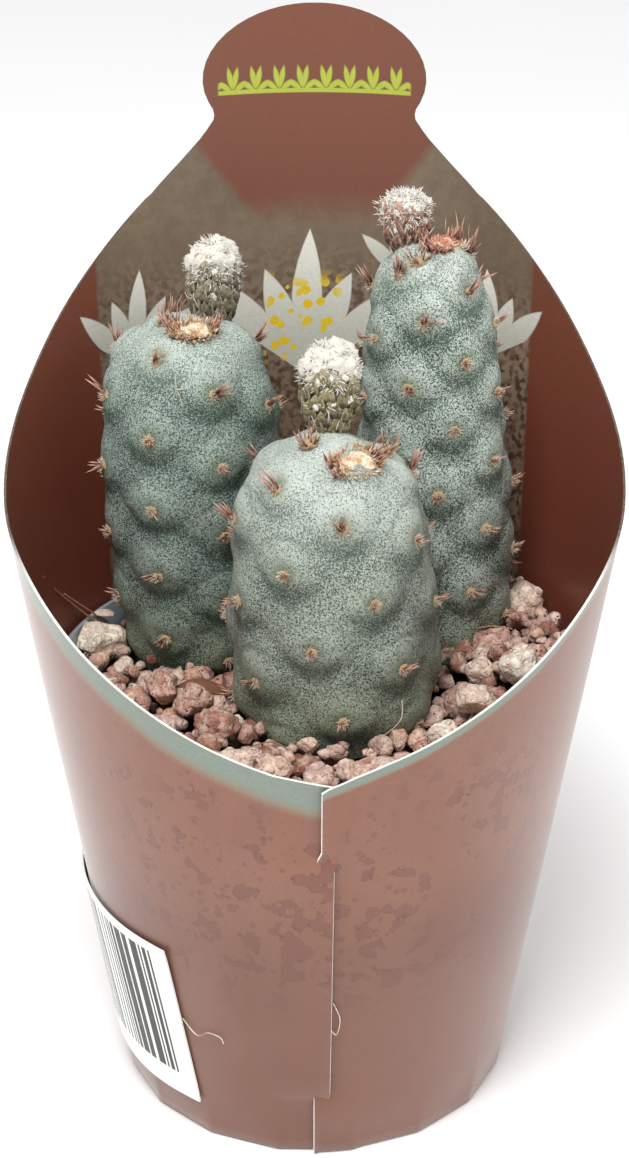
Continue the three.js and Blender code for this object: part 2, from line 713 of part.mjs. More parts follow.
// The straw-coloured cushion with its bristles, on the shoulder of a stem.
function makeCrown(name, stem, others) {
  const { crown } = stem;
  const random = makeRandom(stem.seed + 200);
  const top = outlineHeight(stem, crown);
  const centre = new THREE.Vector3(stem.x + crown.x + leanAt(top), stem.y + crown.y, top);
  const normal = new THREE.Vector3(crown.x * 0.12, crown.y * 0.12, 1).normalize();
  const cushion = cleanTriangles(new THREE.IcosahedronGeometry(1, 0));
  mapPoints(cushion, (point) => point.multiplyScalar(lerp(0.9, 1.2, random())));
  cushion.scale(crown.length / 2, crown.width / 2, 1.5).rotateX(degToRad(14));
  const solids = [toSolid(cushion.translate(centre.x, centre.y, centre.z))];
  for (let i = 0; i < BRISTLE_COUNT; i += 1) {
    const around = i * degToRad(GOLDEN_ANGLE);
    const spread = lerp(0.5, 1.2, random());
    const way = leaning(normal, spread * Math.cos(around), spread * Math.sin(around));
    const root = centre.clone();
    root.x += Math.cos(around) * crown.length * 0.2;
    root.y += Math.sin(around) * crown.width * 0.2;
    solids.push(spike(root, way, SPINE_RADIUS, lerp(3.2, 4.4, random()), 3));
  }
  return toMesh(`crown_${name}`, union(solids).subtract(union(others)), 'crown');
}

// A plain envelope round a bud, which a crown's cushion and bristles stay out of.
function budRoom(stem) {
  const { bud } = stem;
  const body = turned([[0, 0], [bud.radius + 0.9, 0], [bud.radius + 1.2, bud.height * 0.6],
    [bud.radius + 0.9, bud.height + 2], [0, bud.height + 2]], 16);
  const place = budPlace(bud, stem, budFoot(stem) - 0.5).toArray();
  return toSolid(body).transform(place);
}

const model = new THREE.Group();
model.add(makeSleeve(), makeLabel(), makePot(), makeSoil());
const rooms = Object.values(STEMS).map((stem) => toSolid(stemGeometry(stem, GAP + 0.05)));
model.add(makeGravel([...rooms, ...footHoles(FOOT_BOTTOM)]));
Object.entries(STEMS).forEach(([name, stem], index) => {
  model.add(makeStem(name, stem));
  model.add(makeBud(name, stem, rooms[index]));
  model.add(makeWool(name, stem));
  model.add(makeCrown(name, stem, [rooms[index], budRoom(stem)]));
});

// The origin is midway between the front of the seam and the back of the head.
const frontReach = sleeveRadius(0, EDGE_HEIGHTS[0]) + CARD;
const backReach = SLEEVE_BASE_RADIUS + (HEAD_CENTRE + HEAD_HALF_HEIGHT) * SLEEVE_FLARE;
model.position.y = (frontReach - backReach) / 2;

export default model;
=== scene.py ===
"""Looks of a small potted cactus with three stems, in a pot topped with lava gravel and held by
a printed card sleeve.

Sizes are in millimetres about the pot's upright axis, with z = 0 under the sleeve. A finished
piece is turned into metres in the frame's own coordinates. Azimuths are degrees from the front
seam, positive towards +X.
"""

import math

import bmesh
import bpy
import numpy as np
from bpy.props import FloatProperty, FloatVectorProperty, IntProperty, PointerProperty
from mathutils import Matrix, Vector, noise


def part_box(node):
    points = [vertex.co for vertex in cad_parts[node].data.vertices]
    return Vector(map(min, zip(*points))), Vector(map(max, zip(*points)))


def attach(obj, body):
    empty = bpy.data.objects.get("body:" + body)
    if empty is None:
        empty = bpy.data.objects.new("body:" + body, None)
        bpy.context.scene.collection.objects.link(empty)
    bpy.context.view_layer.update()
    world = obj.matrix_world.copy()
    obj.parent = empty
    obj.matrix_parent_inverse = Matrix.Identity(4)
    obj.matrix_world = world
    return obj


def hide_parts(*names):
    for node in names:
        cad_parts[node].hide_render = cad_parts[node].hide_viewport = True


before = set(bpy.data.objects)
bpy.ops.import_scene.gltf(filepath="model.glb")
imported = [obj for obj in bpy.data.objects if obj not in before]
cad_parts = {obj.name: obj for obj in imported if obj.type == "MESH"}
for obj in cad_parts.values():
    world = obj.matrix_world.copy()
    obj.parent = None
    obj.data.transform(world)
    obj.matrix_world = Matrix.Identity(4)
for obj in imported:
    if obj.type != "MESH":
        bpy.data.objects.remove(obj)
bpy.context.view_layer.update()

bl_info = {
    "name": "Potted cactus in a card sleeve",
    "version": (1, 0, 0),
    "blender": (4, 5, 0),
    "location": "3D View > Sidebar > Cactus",
    "description": "Dresses the solids of a small potted cactus",
    "category": "Object",
}

MM = 0.001
POT_LOW, POT_HIGH = (Vector(corner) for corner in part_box("pot"))
AXIS = Vector(((POT_LOW.x + POT_HIGH.x) / 2, (POT_LOW.y + POT_HIGH.y) / 2, 0))
TO_FRAME = Matrix.Translation(AXIS) @ Matrix.Scale(MM, 4)
UP = Vector((0, 0, 1))
GOLDEN_ANGLE = 137.5
BLUNT = 0.7
ANY_ROLL = (0, 6.28)
SLEEVE_CLEARANCE = 0.3

# Faces round the turned pieces, and points of a stem's outline and of its upper part.
STEM_STEPS = 168
POT_STEPS = 120
BED_STEPS = 48
BUD_STEPS = 40
OUTLINE_POINTS = 150
OUTLINE_TOP = 90

# The card sleeve: a cone whose top edge rises from the seam to a neck and an oval head.
CARD = 0.5
SHEET = 0.3
SLEEVE_BASE_RADIUS = 24.4
SLEEVE_FLARE = 0.1557
SLEEVE_SIDES = 17
COLUMNS_PER_SIDE = 16
FOLD_HEIGHT = 6
FOLD_ROUNDING = 0.5
TAB_LENGTH = 8
TAB_TAPER = 1.1
EDGE_AZIMUTHS = (0, 22, 46, 68, 90, 113, 130, 148.2)
EDGE_HEIGHTS = (57.1, 61.8, 68.2, 74.8, 79.3, 86.7, 94.4, 103.3)
START_STEEPNESS = 1.1
NECK_HEIGHTS = (103.3, 105, 107.1, 108.8, 110, 111, 112)
NECK_HALF_WIDTHS = (21.35, 19.5, 17.1, 15.3, 14.05, 13.25, 12.8)
NECK_MIDDLE = 106
THROAT = ((112.6, 12.7), (113.3, 12.85))
BACK_STRETCH = 0.035
BACK_REACH = 32
BACK_EASING = 10
HEAD_HALF_WIDTH = 14.1
HEAD_HALF_HEIGHT = 8.9
HEAD_CENTRE = 117
HEAD_ANGLES = (-18.3, -10, -2, 6, 14, 22, 30, 38, 46, 53, 60, 66, 71, 75.5, 79.5, 83, 86)
LEVELS = (0, 0.15, 0.5, 2, 4, 6, 8.6, 9.6, 10.7, 14, 18, 22, 26, 30, 34, 38, 42, 45.8, 47.1, 48.5,
          50, 51.5, 53, 54.5, 55.8, 57.1)
FIXED_LEVEL = 45.8

# The seam's edge along the height, and which sheet lies outside there: 1 for the right one.
SEAM_HEIGHTS = (0, 8.6, 10.7, 45.8, 48.5, 57.1)
SEAM_AZIMUTHS = (0, 0, 3.9, 3.9, 1.5, 1.5)
RIGHT_OUTSIDE = (1, 1, 0, 0, 1, 1)
FLAP_ANGLE = 4
FLAP_START = 2
FLAP_RISE = 3
LAP_ANGLE = 14
SEAM_REACH = 8
LAP_LIFT = CARD + 0.03
CURL = 0.7
CURL_ANGLE = 2.5
RIPPLE = 0.14
RIPPLE_RISE = 10
BAND_DEPTHS = (3.7, 1.2)
BAND_END = 140
NO_BAND = 99

# The print inside: millimetres to a unit of its map, and the foot of the leaf row.
PRINT_SCALE = 100.0
LEAF_ROW_HEIGHT = 115.2

LABEL = {"right": -35.2, "span": 70, "low": 5.6, "high": 29, "lean": 4.4, "thickness": 0.25}
LABEL_GAP = 0.3
LABEL_CURL = 0.12
LABEL_CORNER = 0.12

# The nursery pot.
POT_STAND = 0.8
POT_PROFILE = ((0, 0.8), (22.2, 0.8), (22.6, 1.2), (30.5, 49.6), (31.2, 49.6), (31.45, 50),
               (32, 54.4), (31.9, 54.8), (31.6, 55), (31.3, 54.9), (31.2, 54.6), (30.6, 50.5),
               (29.7, 49.4), (21.9, 1.8), (21.6, 1.6), (0, 1.6))
DRAIN_COUNT = 4
DRAIN_RADIUS = 2.5
DRAIN_CIRCLE = 14

# Gravel: the seeded places of the solids, with smaller stones between them.
BED_TOP = 50.4
BED_RADIUS = 29.2
STONE_RADII = (1.9, 3)
STONE_COUNT = 58
STONE_SHRINK = 0.94
STONE_TRIES = 4000
STONE_REACH = 30.6
STONE_LIMIT = 30.9
FILLER_COUNT = 150
FILLER_RADII = (1.1, 1.8)
CRUMB_COUNT = 320
CRUMB_RADII = (0.6, 1)
HEAP_AZIMUTH = 105
HEAP_START = 10
HEAP_END = 27
HEAP_HEIGHT = 5.4
HEAP_SPREAD = 0.05
RIM_TOP = 55
STEM_MARGIN = 0.15
SHADED_HEIGHT = 3.2
FACETS = 14
FACET_POWER = 22
PORES = 0.07

# Stones that stand out by their shade (place, radius, tone).
LANDMARKS = (
    ((24.2, -7.4, 58.8), 2.5, 0.99),
    ((19.2, -12, 56.8), 2.5, 0.86),
    ((15.2, -17.4, 54.8), 2.2, 0.92),
    ((-27, 9.4, 53.4), 3, 0.95),
    ((-4.6, -23.4, 53.8), 2.6, 0.8),
    ((0.6, -25.4, 53.6), 2.2, 0.55),
    ((5.4, -24.6, 53.6), 1.9, 0.7),
    ((-9.6, -22.4, 53.8), 2.4, 0.84),
    ((-11.6, -14.2, 54.8), 2.3, 0.3),
    ((-14.6, -9.2, 55), 2.2, 0.45),
    ((-17.6, -13.6, 54), 2, 0.62),
    ((-18.4, -6, 55.2), 2.4, 0.4),
)

# Dried stalks and hairs (points, radius, tone), the last two on the sleeve, and chips
# (centre, size, turn, curve, tone).
THREADS = (
    (((-24, 11.5, 53.6), (-27.9, 12.4, 54.9), (-31, 10.6, 58.6), (-32.9, 8.2, 62),
      (-33.4, 6, 64.2)), 0.16, 0.2),
    (((-26.4, 13.6, 54), (-29.4, 12.2, 57), (-31.6, 11, 59.4)), 0.12, 0.3),
    (((18.8, -11.3, 56.6), (19, -12.2, 55.6), (18, -13.4, 54.4), (17.7, -14.8, 53)), 0.2, 0.15),
    (((10.2, -14.4, 58), (10.1, -15.9, 56.4), (8.6, -17, 55.2), (6.2, -17.9, 54)), 0.07, 0.9),
    (((-16.2, 1.4, 92.6), (-16.1, 0.9, 91), (-15.6, 0.6, 89.8), (-15.4, 0.5, 88.6)), 0.06, 0.8),
    (((-3, -19, 54), (-5, -18.6, 54.8), (-7.6, -18.8, 54.2)), 0.12, 0.25),
    (((20, 4, 58), (22, 3, 58.8), (24.4, 2.6, 58.6)), 0.1, 0.5),
    (((-15.9, -22.6, 18.8), (-14.2, -23.5, 17), (-12.8, -24.3, 17.9), (-11.3, -25, 17.7),
      (-10.9, -25.2, 16.9)), 0.08, 1),
    (((2.2, -28.5, 25.2), (3, -28.1, 22.7), (2.6, -27.8, 20.2), (1.8, -27.9, 21.2)), 0.07, 1),
)
FLAKES = (
    ((-13.4, -4.6, 55), (3.6, 1.3, 0.4), (-8, 5), 1.3, 0.02),
    ((-26.6, 13.6, 55.4), (1.4, 0.9, 0.3), (20, 10), 0.3, 0.85),
)

# The stems. Outlines, spirals, buds and crowns are those of the solids; the creases are
# narrower and deeper, and the areoles go further down.
FOOT_RADIUS = 6.8
FOOT_BOTTOM = 41.5
FOOT_TOP = 48.8
LEAN = -0.033
LEAN_START = 56
RELIEF = 1.15
RELIEF_WIDTH = 4.1
SINK = 0.35
CREASE = 0.2
CREASE_DISTANCE = 4.1
CREASE_WIDTH = 0.32
UNDER_DISTANCE = 2.4
UNDER_WIDTH = 1.5
DIMPLE = 0.3
DIMPLE_WIDTH = 1.1
HALO_WIDTH = 1.45
FOLDS = 0.28
PRESSED_GAP = 0.12
LOWEST_AREOLE = 52.5
PAD_REACH = 1.2
SPINE_GAP = 0.4
BUD_SINK = 0.8
CORE_SHARE = 0.8
WIDEST = 0.55
ROUNDNESS = 0.6
PAD_FLUFFS = 9
HIGH_AREOLES = 8
CLUSTER_HAIRS = 22
BUD_BRISTLES = 10
CROWN_FLUFFS = 46
CROWN_STRANDS = 120
CROWN_BRISTLES = 20
STEMS = {
    "front": {
        "place": (2.5, -4.6),
        "girth": 11.9,
        "profile": ((0, 87.6), (2.8, 86.9), (5.4, 85.4), (8.1, 83.7), (9.9, 80.6), (11, 76.4),
                    (11.7, 70), (12.1, 63), (12, 57.5), (11.6, 54), (10.5, 50.2)),
        "spiral": (85.77, 43.9, 1.13, 136.92),
        "bud": {"place": (0.05, 2.6), "radius": 3.7, "height": 12.2, "lean": 2},
        "crown": {"place": (3, -4.4), "length": 5.8, "width": 3.6},
        "clusters": ((-2.2, -2, 0), (6.4, -0.2, 0)),
        "seed": 11,
    },
    "left": {
        "place": (-14.3, 13),
        "girth": 11,
        "profile": ((0, 94.6), (4.3, 93.9), (7.6, 91.9), (9.4, 88.4), (10.4, 83), (10.9, 76),
                    (10.8, 70), (10.3, 62), (9.6, 55), (8.4, 50.2)),
        "spiral": (93.45, 200.8, 1.114, 135.04),
        "bud": {"place": (3, 5.8), "radius": 3.5, "height": 11.7, "lean": 2},
        "crown": {"place": (1.1, -2.8), "length": 5, "width": 3.2},
        "clusters": ((-2.2, 0.3, 0), (-1, -2.4, 0)),
        "seed": 23,
    },
    "right": {
        "place": (15.2, 13),
        "girth": 9,
        "profile": ((0, 104.4), (3, 103.9), (4.9, 102.2), (6.5, 98.6), (7.4, 93.5), (7.9, 88),
                    (8.5, 81), (9.2, 73), (9.5, 65), (9.2, 57), (8.5, 50.2)),
        "spiral": (104.2, 229.2, 1.009, -136.7),
        "bud": {"place": (-2.6, 1.4), "radius": 3.05, "height": 7.6, "lean": -3},
        "crown": {"place": (1.2, -0.8), "length": 4.2, "width": 2.8},
        "clusters": ((-1.4, -3.8, 0), (3.5, 0.4, 1)),
        "seed": 37,
    },
}

# The skins: frost, green, cover, and the heights between which the frost thickens and the skin is
# painted paler, partly painted light from above.
SKINS = {"front": ("9ea699", "3d4d42", 0.5, 74, 89),
         "left": ("93a499", "2c4037", 0.48, 86, 97),
         "right": ("b9c6bc", "2b4035", 0.475, 94, 108)}

# The stage in metres: lights (name, watts, size, place), the point they are aimed at, the
# strength of the sky, the lens in millimetres, and the camera's place and target, which like
# the lit point are about the pot's axis.
LIGHTS = (("key", 6.5, 0.35, (-0.12, -0.38, 0.85)), ("fill", 0.9, 0.7, (0.6, -0.35, 0.35)))
LIT_POINT = (0, 0, 0.06)
SKY = 0.7
LENS = 77.53
CAMERA_PLACE = (0, -0.2696, 0.1982)
CAMERA_TARGET = (0, 0, 0.0667)


def colour_of(text):
    """A linear colour from six hexadecimal digits of screen colour."""
    channels = (int(text[i:i + 2], 16) / 255 for i in (0, 2, 4))
    return tuple(c / 12.92 if c < 0.04045 else ((c + 0.055) / 1.055) ** 2.4 for c in channels)


def colour_setting(name, description, text):
    return FloatVectorProperty(name=name, description=description, default=colour_of(text),
                               subtype="COLOR", size=3, min=0, max=1)


def length_setting(name, description, millimetres):
    return FloatProperty(name=name, description=description, default=millimetres * MM,
                         unit="LENGTH", subtype="DISTANCE", min=0)


class CardSettings(bpy.types.PropertyGroup):
    """Colours of the sleeve and its print."""

    outside: colour_setting("Outside", "Ground colour of the sleeve's outside", "835039")
    blotch: colour_setting("Blotches", "Drop-like blotches of the outside", "5e2412")
    inside: colour_setting("Inside", "Ground colour of the sleeve's inside", "74412c")
    panel: colour_setting("Panel", "Taupe picture panel at the back", "7f6e59")
    motif: colour_setting("Motif", "Leaf fans printed on the panel", "eceae0")
    ornament: colour_setting("Ornament", "Leaf row printed on the head", "a9b53a")
    cut_edge: colour_setting("Cut edge", "Bare card where it is cut", "f4efe8")


class PlantSettings(bpy.types.PropertyGroup):
    """Sizes and colours of the cactus."""

    spine_length: length_setting("Spine length", "Length of a middling spine", 2.1)
    spine_radius: length_setting("Spine radius", "Radius of a spine at its root", 0.17)
    hair_radius: length_setting("Hair radius", "Radius of a wool hair at its root", 0.07)
    wool_tufts: IntProperty(name="Wool tufts", description="Tufts in each bud's wool cap",
                            default=190, min=10, max=400)
    scale_count: IntProperty(name="Bud scales", description="Scales on each bud",
                             default=48, min=12, max=90)
    skin: colour_setting("Skin", "Frost on the stems", "c3cbc3")
    speckle: colour_setting("Speckle", "Green between the specks of frost", "43544a")
    wool: colour_setting("Wool", "Wool of the buds", "f8f7f3")
    spine: colour_setting("Spine", "Red-brown of the spines", "6a281b")


class GroundSettings(bpy.types.PropertyGroup):
    """Colours of the pot and of what fills it."""

    pot: colour_setting("Pot", "Moulded plastic of the nursery pot", "3a4148")
    stone: colour_setting("Stone", "Commonest colour of the lava gravel", "cba798")
    soil: colour_setting("Soil", "Potting soil under the gravel", "2e2019")


def seeded(seed):
    """A source of numbers between two limits that gives the same run for the same seed."""
    state = seed

    def draw(low=0.0, high=1.0):
        nonlocal state
        state = (state * 1664525 + 1013904223) % 2 ** 32
        return low + (high - low) * state / 2 ** 32

    return draw


def lerp(low, high, share):
    return low + (high - low) * share


def clamp(value, low=0.0, high=1.0):
    return max(low, min(high, value))


def polar(azimuth, radius, z):
    angle = math.radians(azimuth)
    return Vector((radius * math.sin(angle), -radius * math.cos(angle), z))


def smooth_curve(points, count):
    """Points at equal steps along a Catmull-Rom curve through the given ones."""
    fine = []
    last = len(points) - 1
    for i in range(last):
        near = [Vector(points[clamp(i + k, 0, last)]) for k in (-1, 0, 1, 2)]
        for step in range(24):
            t = step / 24
            start, end = (near[2] - near[0]) / 2, (near[3] - near[1]) / 2
            fine.append((2 * near[1] - 2 * near[2] + start + end) * t ** 3
                        + (-3 * near[1] + 3 * near[2] - 2 * start - end) * t ** 2
                        + start * t + near[1])
    fine.append(Vector(points[-1]))
    steps = [(b - a).length for a, b in zip(fine, fine[1:])]
    reach = np.concatenate(([0], np.cumsum(steps)))
    wanted = np.linspace(0, reach[-1], count)
    columns = [np.interp(wanted, reach, [point[k] for point in fine]) for k in range(2)]
    return [Vector((max(0.0, float(x)), float(z))) for x, z in zip(*columns)]


# Meshes and pieces.

def link_object(name, mesh):
    thing = bpy.data.objects.new(name, mesh)
    bpy.context.scene.collection.objects.link(thing)
    return thing


def mesh_of(name, bm):
    """Turns a bmesh into a mesh, and frees it."""
    mesh = bpy.data.meshes.new(name)
    bm.to_mesh(mesh)
    bm.free()
    return mesh


def finish_piece(name, bm, materials, replaces=None):
    """Turns a bmesh in millimetres into a finished piece of the object."""
    mesh = mesh_of(name, bm)
    mesh.transform(TO_FRAME)
    for material in materials:
        mesh.materials.append(material)
    mesh.shade_smooth()
    piece = link_object(name, mesh)
    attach(piece, "root")
    if replaces:
        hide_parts(replaces)
    return piece


def spun(profile, steps):
    """A closed turned shape from points of radius and height, ends on the axis."""
    bm = bmesh.new()
    verts = [bm.verts.new((radius, 0, z)) for radius, z in profile]
    edges = [bm.edges.new(pair) for pair in zip(verts, verts[1:])]
    bmesh.ops.spin(bm, geom=verts + edges, cent=(0, 0, 0), axis=UP, angle=2 * math.pi,
                   steps=steps, use_merge=True)
    bmesh.ops.remove_doubles(bm, verts=bm.verts, dist=1e-4)
    bmesh.ops.recalc_face_normals(bm, faces=bm.faces)
    return bm


def new_template(name, bm, along=BLUNT):
    """A bmesh as a template mesh, with the attributes that its copies carry."""
    for key in ("tone", "along"):
        if key not in bm.verts.layers.float:
            layer = bm.verts.layers.float.new(key)
            for vert in bm.verts:
                vert[layer] = along
    bmesh.ops.recalc_face_normals(bm, faces=bm.faces)
    return mesh_of(name, bm)


def plant(bm, template, matrix, tone=None):
    """Adds a copy of a template to a bmesh, in its place and with a tone of its own."""
    copy = template.copy()
    copy.transform(matrix)
    if tone is not None:
        copy.attributes["tone"].data.foreach_set("value", [tone] * len(copy.vertices))
    bm.from_mesh(copy)
    bpy.data.meshes.remove(copy)


def grow(bm, edges):
    """Extrudes edges where they are and gives the new vertices and edges."""
    grown = bmesh.ops.extrude_edge_only(bm, edges=edges)["geom"]
    return ([item for item in grown if isinstance(item, bmesh.types.BMVert)],
            [item for item in grown if isinstance(item, bmesh.types.BMEdge)])


def take_in(bm, part):
    """Adds all of another bmesh to a bmesh, and frees it."""
    mesh = mesh_of("part", part)
    bm.from_mesh(mesh)
    bpy.data.meshes.remove(mesh)


def strand(name, sides, levels, bend):
    """A hair or spine of unit length and unit root radius along +Z, curving towards +X."""
    bm = bmesh.new()
    along = bm.verts.layers.float.new("along")
    bmesh.ops.create_circle(bm, cap_ends=True, segments=sides, radius=1)
    edges = bm.edges[:]
    for level in range(1, levels + 1):
        ring, edges = grow(bm, edges)
        share = level / levels
        girth = 1 - share ** 2 * 0.9
        for vert in ring:
            flat = Vector((vert.co.x, vert.co.y)).normalized() * girth
            vert.co = (flat.x + bend * share ** 2, flat.y, share)
            vert[along] = share
        if level == levels:
            bmesh.ops.pointmerge(bm, verts=ring, merge_co=(bend, 0, 1))
    return new_template(name, bm)


def stand_along(way):
    """The turn that stands +Z along a direction."""
    return Vector(way).to_track_quat("Z", "Y").to_matrix().to_4x4()


def aim(place, way, length=1.0, girth=1.0, roll=0.0):
    """The matrix that stands a template at a place along a direction."""
    size = Matrix.Diagonal((girth, girth, length, 1))
    return Matrix.Translation(place) @ stand_along(way) @ Matrix.Rotation(roll, 4, "Z") @ size


def leaning(normal, sideways, upwards):
    """A direction that leans from a normal by a share to the side and upwards."""
    across = UP.cross(normal).normalized()
    over = normal.cross(across).normalized()
    return (normal + across * sideways + over * upwards).normalized()


def tuft(name, hair, count, spread, seed, girth, lengths=(0.7, 1.15), footprint=0.5):
    """Many hairs from one small root, fanned round +Z, as a template."""
    draw = seeded(seed)
    bm = bmesh.new()
    for i in range(count):
        around = math.radians(i * GOLDEN_ANGLE)
        out = math.sqrt((i + 0.5) / count)
        way = Vector((math.cos(around) * out * spread, math.sin(around) * out * spread, 1))
        root = Vector((math.cos(around), math.sin(around), 0)) * out * footprint
        plant(bm, hair, aim(root, way, draw(*lengths), girth, draw(*ANY_ROLL)), draw())
    return new_template(name, bm)


def lump(name, subdivisions, seed, roughness, size, fine=0.0, along=BLUNT):
    """A rough cushion of unit radius, as a template."""
    bm = bmesh.new()
    bmesh.ops.create_icosphere(bm, subdivisions=subdivisions, radius=1)
    shift = Vector((seed * 3.1, seed * 1.7, seed * 0.9))
    for vert in bm.verts:
        point = vert.co * size + shift
        height = noise.noise(point) * roughness
        height += noise.noise(point * 2.7) * roughness * 0.45
        if fine:
            height += noise.noise(point * 7) * fine
        vert.co *= 1 + height
    return new_template(name, bm, along)


def chunk(name, subdivisions, seed):
    """A broken stone of unit radius: soft seeded facets, roughened, as a template."""
    draw = seeded(seed)
    facets = []
    for i in range(FACETS):
        up = 1 - (i + 0.5) / (FACETS / 2)
        way = polar(i * GOLDEN_ANGLE + draw(-22, 22), math.sqrt(1 - up * up), up)
        facets.append((way + Vector((draw(-0.3, 0.3), draw(-0.3, 0.3), draw(-0.3, 0.3))),
                       draw(0.72, 1.08)))
    shift = Vector((seed * 3.1, seed * 1.7, seed * 0.9))
    bm = bmesh.new()
    bmesh.ops.create_icosphere(bm, subdivisions=subdivisions, radius=1)
    for vert in bm.verts:
        near = sum(max(0.0, vert.co.dot(way) / far) ** FACET_POWER for way, far in facets)
        point = vert.co + shift
        height = 0.2 * noise.noise(point * 1.6) + 0.07 * noise.noise(point * 4.2)
        height += PORES * noise.noise(point * 9)
        vert.co *= (near + 0.2) ** (-1 / FACET_POWER) * (1 + height)
    return new_template(name, bm)


# Node helpers.

def feed(tree, socket, value):
    """Links a socket to another, or sets its value."""
    if isinstance(value, bpy.types.NodeSocket):
        tree.links.new(value, socket)
    elif socket.type == "RGBA":
        socket.default_value = (*value[:3], 1)
    else:
        socket.default_value = value


def add(tree, kind, inputs=None, **settings):
    """Adds a shader node; an input that is a socket is linked, any other is its value."""
    node = tree.nodes.new("ShaderNode" + kind)
    for key, value in settings.items():
        setattr(node, key, value)
    for key, value in (inputs or {}).items():
        feed(tree, node.inputs[key], value)
    return node


def calc(tree, operation, *values):
    return add(tree, "Math", dict(enumerate(values)), operation=operation).outputs[0]


def ranged(tree, value, low, high, start=0.0, end=1.0):
    """A value's place between two limits, eased, as a share between two others."""
    limits = {"Value": value, "From Min": low, "From Max": high, "To Min": start, "To Max": end}
    return add(tree, "MapRange", limits, interpolation_type="SMOOTHSTEP").outputs[0]


def blend(tree, share, first, second):
    """Two colours mixed by a share."""
    return add(tree, "Mix", {0: share, 6: first, 7: second}, data_type="RGBA").outputs[2]


def tinge(tree, mask, share, first, second):
    """The first colour, turned to the second by a share of a mask."""
    return blend(tree, calc(tree, "MULTIPLY", mask, share), first, second)


def attribute(tree, name):
    return add(tree, "Attribute", attribute_name=name).outputs["Fac"]


def height_of(tree, place):
    """The height above the ground in millimetres."""
    return calc(tree, "DIVIDE", add(tree, "SeparateXYZ", {0: place}).outputs[2], MM)


def stops(tree, value, *colours):
    """A colour ramp through positions and colours."""
    node = add(tree, "ValToRGB", {"Fac": value})
    ramp = node.color_ramp
    ramp.elements[0].position, ramp.elements[1].position = colours[0][0], colours[-1][0]
    ramp.elements[0].color = (*colours[0][1], 1)
    ramp.elements[1].color = (*colours[-1][1], 1)
    for position, colour in colours[1:-1]:
        ramp.elements.new(position).color = (*colour, 1)
    return node.outputs[0]


def new_group(name, inputs):
    """A shader node group with named number or vector inputs and one mask."""
    tree = bpy.data.node_groups.new(name, "ShaderNodeTree")
    for key, default in inputs.items():
        kind = "NodeSocketVector" if default is None else "NodeSocketFloat"
        socket = tree.interface.new_socket(name=key, in_out="INPUT", socket_type=kind)
        if default is not None:
            socket.default_value = default
    tree.interface.new_socket(name="Mask", in_out="OUTPUT", socket_type="NodeSocketFloat")
    return tree, tree.nodes.new("NodeGroupInput").outputs


def close_group(tree, result):
    tree.links.new(result, tree.nodes.new("NodeGroupOutput").inputs[0])


def use_group(tree, name, **inputs):
    return add(tree, "Group", inputs, node_tree=bpy.data.node_groups[name]).outputs[0]


def grain(tree, place, size, detail, low, high, twist=0.0):
    """Grain of a size in millimetres, as a mask between two thresholds of a noise."""
    return use_group(tree, "grain", Vector=place, Size=size, Detail=detail, Twist=twist,
                     Low=low, High=high)


def pits(tree, place, size, share, edge):
    """Round pits or drops of a size in millimetres, as a mask that is 1 inside them."""
    return use_group(tree, "pits", Vector=place, Size=size, Share=share, Edge=edge)


def make_grain_group():
    """The node group behind grain."""
    tree, given = new_group("grain", {"Vector": None, "Size": 1.0, "Detail": 2.0,
                                      "Twist": 0.0, "Low": 0.4, "High": 0.6})
    scale = calc(tree, "DIVIDE", 1 / MM, given["Size"])
    pattern = add(tree, "TexNoise", {"Vector": given["Vector"], "Scale": scale,
                                     "Detail": given["Detail"], "Distortion": given["Twist"]})
    close_group(tree, ranged(tree, pattern.outputs[0], given["Low"], given["High"]))


def make_pits_group():
    """The node group behind pits."""
    tree, given = new_group("pits", {"Vector": None, "Size": 1.0, "Share": 0.35, "Edge": 0.1})
    scale = calc(tree, "DIVIDE", 1 / MM, given["Size"])
    cells = add(tree, "TexVoronoi", {"Vector": given["Vector"], "Scale": scale,
                                     "Randomness": 1.0})
    wobble = add(tree, "TexNoise", {"Vector": given["Vector"], "Scale": scale, "Detail": 2.0})
    distance = calc(tree, "MULTIPLY_ADD", wobble.outputs[0], 0.45, cells.outputs["Distance"])
    rim = calc(tree, "ADD", given["Share"], 0.22)
    inner = calc(tree, "SUBTRACT", rim, given["Edge"])
    close_group(tree, ranged(tree, distance, inner, rim, 1.0, 0.0))


